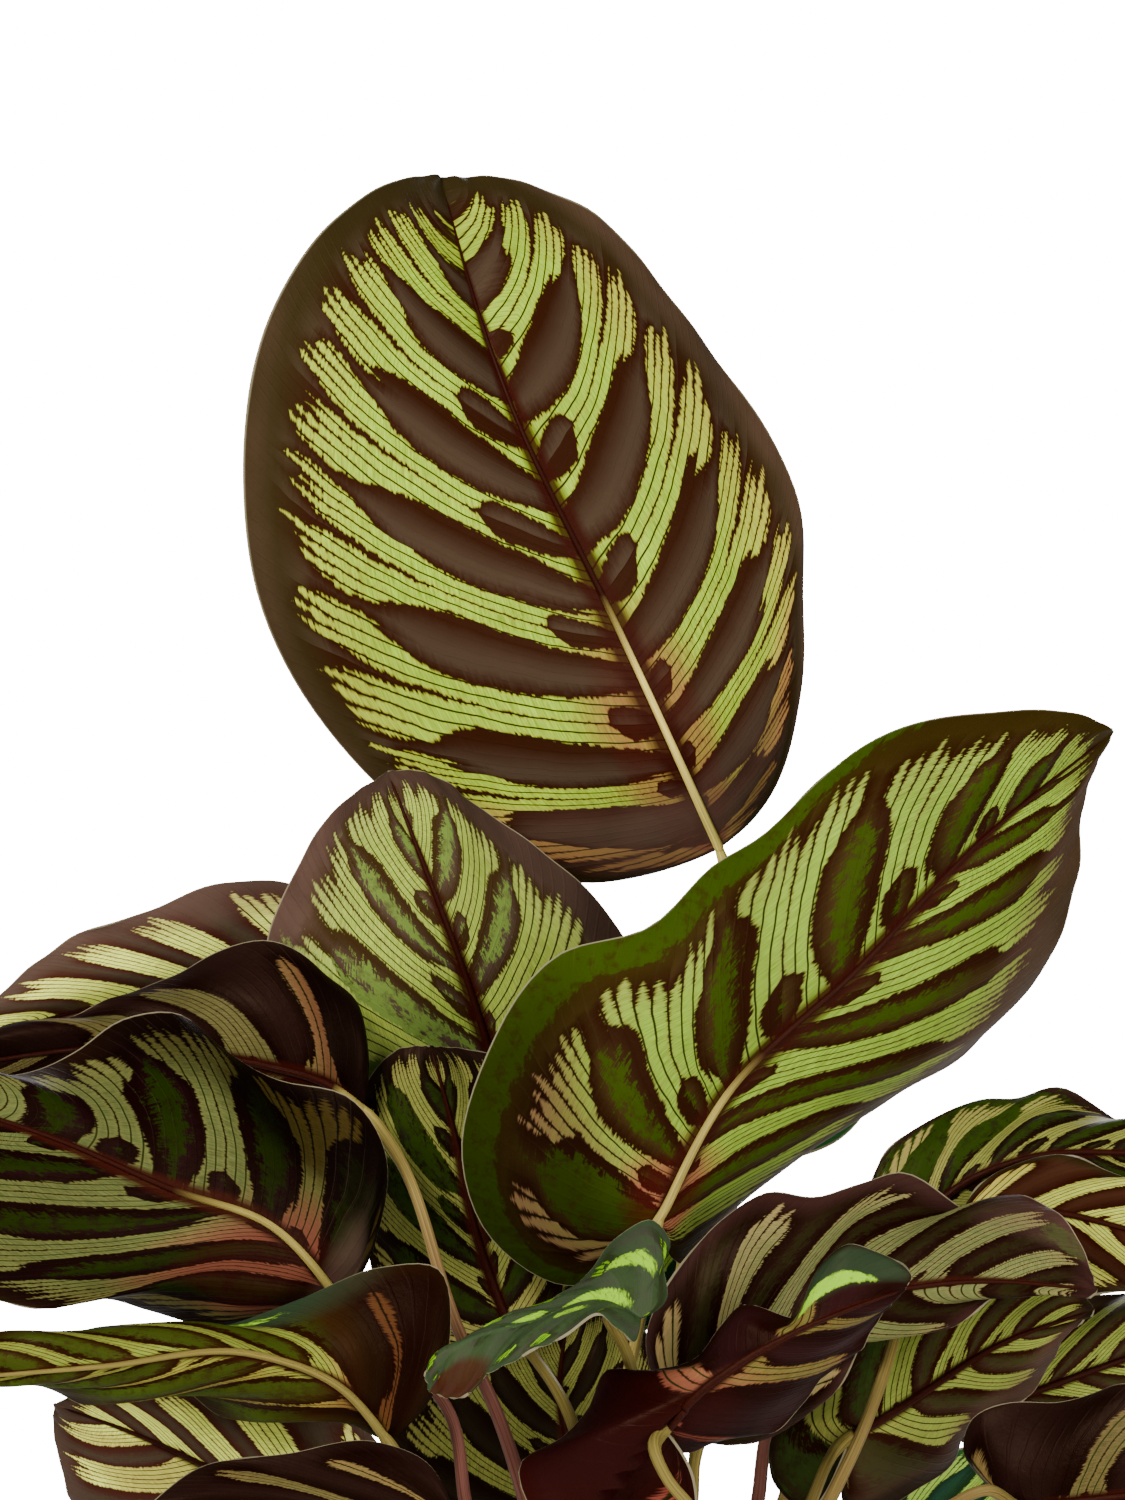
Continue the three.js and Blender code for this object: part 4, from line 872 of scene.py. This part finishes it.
    # Painted sheen: a cloudy greyish painted highlight where the haze patches lie.
    sheen_mask = add(TIMES, painted_sheen, add(SPREAD, cloud, 0.3, 0.6, 0.4))
    colour = add(BLEND, sheen_mask, shaded, linear(SHEEN_GREY))
    rim = add(SPREAD, from_rib, 0.98, 0.993, 0, 0.7)
    colour = add(BLEND, rim, colour, linear(RIM))
    colour = add(BLEND, upper, colour, linear(CURLED_OVER))
    lit = add(TIMES_PLUS, lime, 1.3, add(TIMES_PLUS, streak, 2.4, -1.2))
    lit = add(SPREAD, lit, 0.5, 1.0)
    colour = add(BLEND, lit, colour, linear(BRIGHT_STREAK))

    relief = add(TIMES_PLUS, vein, 0.3, grain)
    bumpy = add(BUMP, 0.5, 0.0005, relief)
    gloss = add(SPREAD, cloud, 0.3, 0.7, 0.36, 0.5)
    surface = add(SURFACE, colour, gloss, bumpy, 0.05, (1, 0.62, 0.38, 1))
    add(OUTPUT, surface)
    return finish


def stem_skin():
    """Smooth plant stem: yellow-green under the blade, pinkish brown lower down, with fine
    lengthwise streaks; on the blade it goes on as the midrib and turns maroon to the tip."""
    finish, add = new_finish("plant_stem_skin")
    run = add(ATTRIBUTE, attribute_name="run")
    length, turn, tone = add(SPLIT, run).node.outputs
    pale = add(ATTRIBUTE, out="Fac", attribute_name="tint")
    low = add(SPREAD, length, 0.97, 0.5)
    pink = add(TIMES, low, tone)
    # Paler and creamier where tint is high: partly the stem's own colour, partly a painted highlight,
    # strongest on the tall leaf's midrib.
    fresh = add(BLEND, pale, linear("66592a"), linear("ead06a"))
    colour = add(BLEND, pink, fresh, linear("6c4238"))
    to_tip = add(SPREAD, length, 1.48, 1.62)
    colour = add(BLEND, to_tip, colour, linear(MIDRIB))
    position = add(JOIN, add(TIMES, length, 2.0), add(TIMES, turn, 12.0), tone)
    streak = add(NOISE, position, 3.0, 4.0)
    streaks = add(SPREAD, streak, 0.3, 0.7, 0.45, 1.2)
    colour = add(TINT, 1.0, colour, streaks)
    bumpy = add(BUMP, 0.4, 0.0004, streak)
    surface = add(SURFACE, colour, 0.42, bumpy, 0.08, (1, 0.75, 0.5, 1))
    add(OUTPUT, surface)
    return finish


PLASTIC_IOR = 1.49


def moulded_pot():
    """Injection-moulded polypropylene nursery pot: matte dark grey with a faint sheen and scuffs."""
    finish, add = new_finish("moulded_polypropylene")
    spot = add(COORDINATES)
    # The mould texture is about 0.5 mm and is drawn at 1 mm so that it shows.
    grain = add(NOISE, spot, 900.0, 3.0)
    cloud = add(NOISE, spot, 22.0, 5.0)
    fade = add(SPREAD, cloud, 0.35, 0.7)
    colour = add(BLEND, fade, linear("2c2e2e"), linear("3c3f3e"))
    rough = add(SPREAD, cloud, 0, 1, 0.5, 0.68)
    bumpy = add(BUMP, 0.25, 0.0003, grain)
    surface = add(SURFACE, colour, rough, bumpy, 0.5, (1, 1, 1, 1), PLASTIC_IOR)
    add(OUTPUT, surface)
    return finish


def earthy_finish(name, low, high, scale, depth, roughness):
    """Crumbly matter: two colours mixed by a rough noise of one scale, raised by the same noise."""
    finish, add = new_finish(name)
    spot = add(COORDINATES)
    crumb = add(CELLS, spot, scale)
    fibre = add(NOISE, spot, scale * 0.7, 6.0, 0.75)
    mixed = add(TIMES_PLUS, crumb, 0.6, fibre)
    tone = add(SPREAD, mixed, 0.4, 0.95)
    colour = add(BLEND, tone, linear(low), linear(high))
    bumpy = add(BUMP, 1.0, depth, mixed)
    surface = add(SURFACE, colour, roughness, bumpy)
    add(OUTPUT, surface)
    return finish


# Pot and potting mix

# Finishes of the mix and its crumbs: name, two colours, grain, relief in metres and roughness.
# A crumb's draws: how many, size in millimetres, how far stretched, and the seed.
POTTING_MIX = ("moist_potting_mix", "120b07", "3a2a1c", 260.0, 0.002, 0.93)
CRUMBS = [
    ("perlite_grains", ("expanded_perlite", "a9a294", "eeeae0", 900.0, 0.0006, 0.9),
     (90, 1.5, (0.8, 1.1), 3)),
    ("bark_chips", ("composted_bark", "1c110a", "5a3a22", 500.0, 0.001, 0.88),
     (160, 2.4, (0.4, 0.7), 5)),
]
POT_HEIGHT, POT_TOP, POT_FOOT, POT_WALL, POT_FLOOR = 150, 88, 62, 3, 4
POT_BAND_HEIGHT, POT_BAND_DEPTH = 22, 2.5
SOIL_EDGE_TOP, SOIL_MIDDLE_TOP = 136, 140
SOIL_FALL, SOIL_LEVEL_PART = 4.5, 0.7
WALL_ROOM, STEM_ROOM, LUMPINESS = 4, 2.2, 0.22
POT_SIDES, SOIL_SIDES, SOIL_RINGS = 128, 120, 40


def pot_radius(z):
    return POT_FOOT + (POT_TOP - POT_BAND_DEPTH - POT_FOOT) * z / POT_HEIGHT


def turned_piece(name, profile, sides):
    """A disc whose rim is extruded and resized along a profile of (radius, z), in millimetres."""
    bpy.ops.object.select_all(action="DESELECT")
    radius, z = profile[0]
    bpy.ops.mesh.primitive_circle_add(vertices=sides, radius=radius * MM, fill_type="TRIFAN")
    piece = bpy.context.object
    piece.name = piece.data.name = name
    bpy.ops.object.mode_set(mode="EDIT")
    bpy.ops.mesh.select_mode(type="VERT")
    bpy.ops.mesh.select_all(action="SELECT")
    bpy.ops.transform.translate(value=(0, 0, z * MM))
    bpy.ops.mesh.select_all(action="DESELECT")
    mesh = bmesh.from_edit_mesh(piece.data)
    for edge in mesh.edges:
        if edge.is_boundary:
            edge.select_set(True)
    bmesh.update_edit_mesh(piece.data)
    for next_radius, next_z in profile[1:]:
        move = (0, 0, (next_z - z) * MM)
        bpy.ops.mesh.extrude_region_move(TRANSFORM_OT_translate={"value": move})
        grow = next_radius / radius
        bpy.ops.transform.resize(value=(grow, grow, 1), center_override=(0, 0, next_z * MM))
        radius, z = next_radius, next_z
    bpy.ops.mesh.merge(type="CENTER")
    bpy.ops.mesh.select_all(action="SELECT")
    bpy.ops.mesh.normals_make_consistent(inside=False)
    bpy.ops.object.mode_set(mode="OBJECT")
    return piece


def make_pot(finish):
    band = POT_HEIGHT - POT_BAND_HEIGHT
    foot, under_band = pot_radius(0), pot_radius(band)
    inside_top, inside_foot = pot_radius(POT_HEIGHT) - POT_WALL, pot_radius(POT_FLOOR) - POT_WALL
    outer = [(foot - 6, 0), (foot - 1.5, 0), (foot - 0.4, 0.5), (foot, 1.5), (under_band - 0.1, band - 0.5),
             (under_band + 0.4, band), (POT_TOP - 2.8, band + 0.3),
             (under_band + POT_BAND_DEPTH, band + 1.2), (POT_TOP - 0.6, POT_HEIGHT - 1.6),
             (POT_TOP - 0.8, POT_HEIGHT - 0.6), (POT_TOP - 1.6, POT_HEIGHT)]
    inner = [(inside_top + 0.9, POT_HEIGHT), (inside_top + 0.2, POT_HEIGHT - 0.4),
             (inside_top, POT_HEIGHT - 1.2), (pot_radius(110) - POT_WALL, 110), (inside_foot, POT_FLOOR),
             (2, POT_FLOOR)]
    pot = turned_piece("nursery_pot", outer + inner, POT_SIDES)
    pot.data.materials.append(finish)
    smooth(pot, math.radians(35))
    return pot


def soil_height(x, y):
    """The bed is highest in the middle, falls to the wall, and is lumpy by a millimetre or so."""
    limit = pot_radius(SOIL_EDGE_TOP) - POT_WALL
    far = np.hypot(x, y) / limit
    lumps = 0.6 * np.sin(x / 5.1 + 1.3 * np.sin(y / 7.3)) + 0.5 * np.sin(y / 4.3 + 2.1 * np.sin(x / 9.1))
    lumps = lumps + 0.3 * np.sin(x / 2.1 + y / 1.7)
    return SOIL_MIDDLE_TOP - 0.6 - SOIL_FALL * np.clip(far - SOIL_LEVEL_PART, 0, 1) / 0.3 * 0.9 + lumps * 0.9


def make_soil(finish):
    """A round block whose top is a fine ring grid set to the lumpy height."""
    radius_top = pot_radius(SOIL_EDGE_TOP) - POT_WALL - 0.2
    rings = [(radius_top * k / SOIL_RINGS, SOIL_MIDDLE_TOP) for k in range(SOIL_RINGS, 0, -1)]
    profile = [(pot_radius(POT_FLOOR) - POT_WALL - 0.4, POT_FLOOR + 0.4),
               (radius_top - 0.2, SOIL_EDGE_TOP - 3)]
    soil = turned_piece("potting_mix_bed", profile + rings, SOIL_SIDES)
    count = len(soil.data.vertices)
    spots = np.empty(count * 3)
    soil.data.vertices.foreach_get("co", spots)
    spots = spots.reshape(-1, 3) / MM
    top = spots[:, 2] > SOIL_MIDDLE_TOP - 0.5
    spots[top, 2] = soil_height(spots[top, 0], spots[top, 1])
    soil.data.vertices.foreach_set("co", (spots * MM).reshape(-1))
    soil.data.materials.append(finish)
    smooth(soil, math.radians(60))
    return soil


def scatter(name, finish, count, size, stretch, seed, feet):
    """Small lumps on the bed: one rough ball, copied, turned and squashed; all in one mesh."""
    bpy.ops.object.select_all(action="DESELECT")
    bpy.ops.mesh.primitive_ico_sphere_add(subdivisions=2, radius=1)
    ball = bpy.context.object
    verts = np.array([v.co[:] for v in ball.data.vertices])
    faces = np.array([p.vertices[:] for p in ball.data.polygons])
    bpy.data.objects.remove(ball)
    rng = np.random.default_rng(seed)
    all_verts, all_faces = [], []
    limit = pot_radius(SOIL_EDGE_TOP) - POT_WALL - WALL_ROOM
    while len(all_verts) < count:
        x, y = rng.uniform(-limit, limit, 2)
        nearest = min(math.hypot(x - fx, y - fy) for fx, fy in feet)
        if math.hypot(x, y) > limit or nearest < STEM_FOOT + STEM_ROOM:
            continue
        rough = verts * (1 + LUMPINESS * rng.standard_normal((len(verts), 1)))
        radius = size * rng.uniform(0.5, 1.2)
        lump = rough * radius * np.array([1, rng.uniform(*stretch), rng.uniform(0.4, 0.8)])
        turn = rng.uniform(0, 2 * np.pi)
        cos, sin = math.cos(turn), math.sin(turn)
        lump = lump @ np.array([[cos, -sin, 0], [sin, cos, 0], [0, 0, 1]])
        lump = lump + np.array([x, y, float(soil_height(x, y)) + radius * 0.2])
        all_faces.append(faces + len(all_verts) * len(verts))
        all_verts.append(lump)
    mesh = bpy.data.meshes.new(name)
    mesh.from_pydata((np.vstack(all_verts) * MM).tolist(), [], np.vstack(all_faces).tolist())
    piece = bpy.data.objects.new(name, mesh)
    bpy.context.collection.objects.link(piece)
    piece.data.materials.append(finish)
    smooth(piece, math.radians(60))
    return piece


# Floor, light and camera


FLOOR_RADIUS, FLOOR_SIDES, FLOOR_Z = 1.3, 96, -0.0005
SKY_BEHIND = 20.0


def set_stage():
    bpy.ops.object.select_all(action="DESELECT")
    bpy.ops.mesh.primitive_circle_add(vertices=FLOOR_SIDES, radius=FLOOR_RADIUS, fill_type="NGON",
                                      location=(0, 0, FLOOR_Z))
    floor = bpy.context.object
    floor.name = "pale_floor"
    finish, add = new_finish("painted_studio_floor")
    paint = add(SURFACE, linear("eceae6"), 0.8)
    add(OUTPUT, paint)
    floor.data.materials.append(finish)
    world = bpy.data.worlds.new("studio")
    bpy.context.scene.world = world
    world.use_nodes = True
    world.node_tree.nodes.clear()
    add = functools.partial(add_node, world.node_tree)
    # White where the camera sees it, and a soft light everywhere else.
    seen = add(LIGHT_PATH)
    strength = add(MIX_VALUES, seen, ROOM_LIGHT, SKY_BEHIND)
    sky = add(SKY, (1, 1, 1, 1), strength)
    add(WORLD_OUTPUT, sky)


# Place and aim in millimetres, size in metres, power in watts.
SOFTBOXES = {
    "key": ((-900, -1500, 1300), (0, 0, 400), 0.9, 52),
    "fill": ((1100, -1300, 500), (0, 0, 320), 1.1, 28),
    "back": ((300, 1400, 1300), (0, 0, 400), 1.0, 24),
}


def add_softbox(name, place_at, aim, size, power):
    bpy.ops.object.light_add(type="AREA", location=[c * MM for c in place_at])
    lamp = bpy.context.object
    lamp.name = name
    lamp.data.shape = "DISK"
    lamp.data.size = size
    lamp.data.energy = power
    way = np.array(aim, float) - np.array(place_at, float)
    flat = math.hypot(way[0], way[1])
    lamp.rotation_euler = (math.atan2(flat, -way[2]), 0, math.atan2(-way[0], way[1]))


def set_camera():
    bpy.ops.object.camera_add(location=(EYE_X * MM, -EYE_DISTANCE * MM, EYE_Z * MM),
                              rotation=(math.pi / 2, 0, 0))
    camera = bpy.context.object
    camera.name = "photo_view"
    camera.data.sensor_width = SENSOR
    camera.data.lens = SENSOR * EYE_DISTANCE / FRAME_HEIGHT
    bpy.context.scene.camera = camera


def main():
    set_stage()
    for name, values in SOFTBOXES.items():
        add_softbox(name, *values)
    set_camera()

    undersides = {kind: leaf_tissue(kind + "_leaf_underside", *values)
                  for kind, values in UNDERSIDES.items()}
    upper = leaf_tissue("grown_leaf_upper_side", *UPPER_SIDE)
    young = leaf_tissue("young_leaf_upper_side", *YOUNG_UPPER_SIDE)
    skin = stem_skin()

    leaves = [{"bulge": FRONT_BULGE, **leaf, "curves": front_curves(leaf)} for leaf in FRONT_LEAVES]
    leaves += [{"bulge": BACK_BULGE, "wave": BACK_WAVE, **leaf, "curves": back_curves(leaf)}
               for leaf in BACK_LEAVES]
    for leaf in leaves:
        kind = look_of(leaf["name"])["finish"]
        finishes = (undersides["maroon"], young) if kind == "young" else (undersides[kind], upper)
        blade = make_blade(leaf, finishes)
        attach(blade, "root")
        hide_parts("blade_" + leaf["name"])
        ridge = make_ridge(leaf)
        stem = make_stem(leaf)
        for piece in (ridge, stem):
            piece.data.materials.append(skin)
            smooth(piece)
            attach(piece, "root")
        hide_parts("stem_" + leaf["name"])

    pot = make_pot(moulded_pot())
    soil = make_soil(earthy_finish(*POTTING_MIX))
    feet = [leaf["foot"] for leaf in leaves]
    crumbs = [scatter(name, earthy_finish(*looks), *draws, feet) for name, looks, draws in CRUMBS]
    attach(pot, "root")
    for piece in (soil, *crumbs):
        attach(piece, "root")
    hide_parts("pot")
    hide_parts("soil")


main()
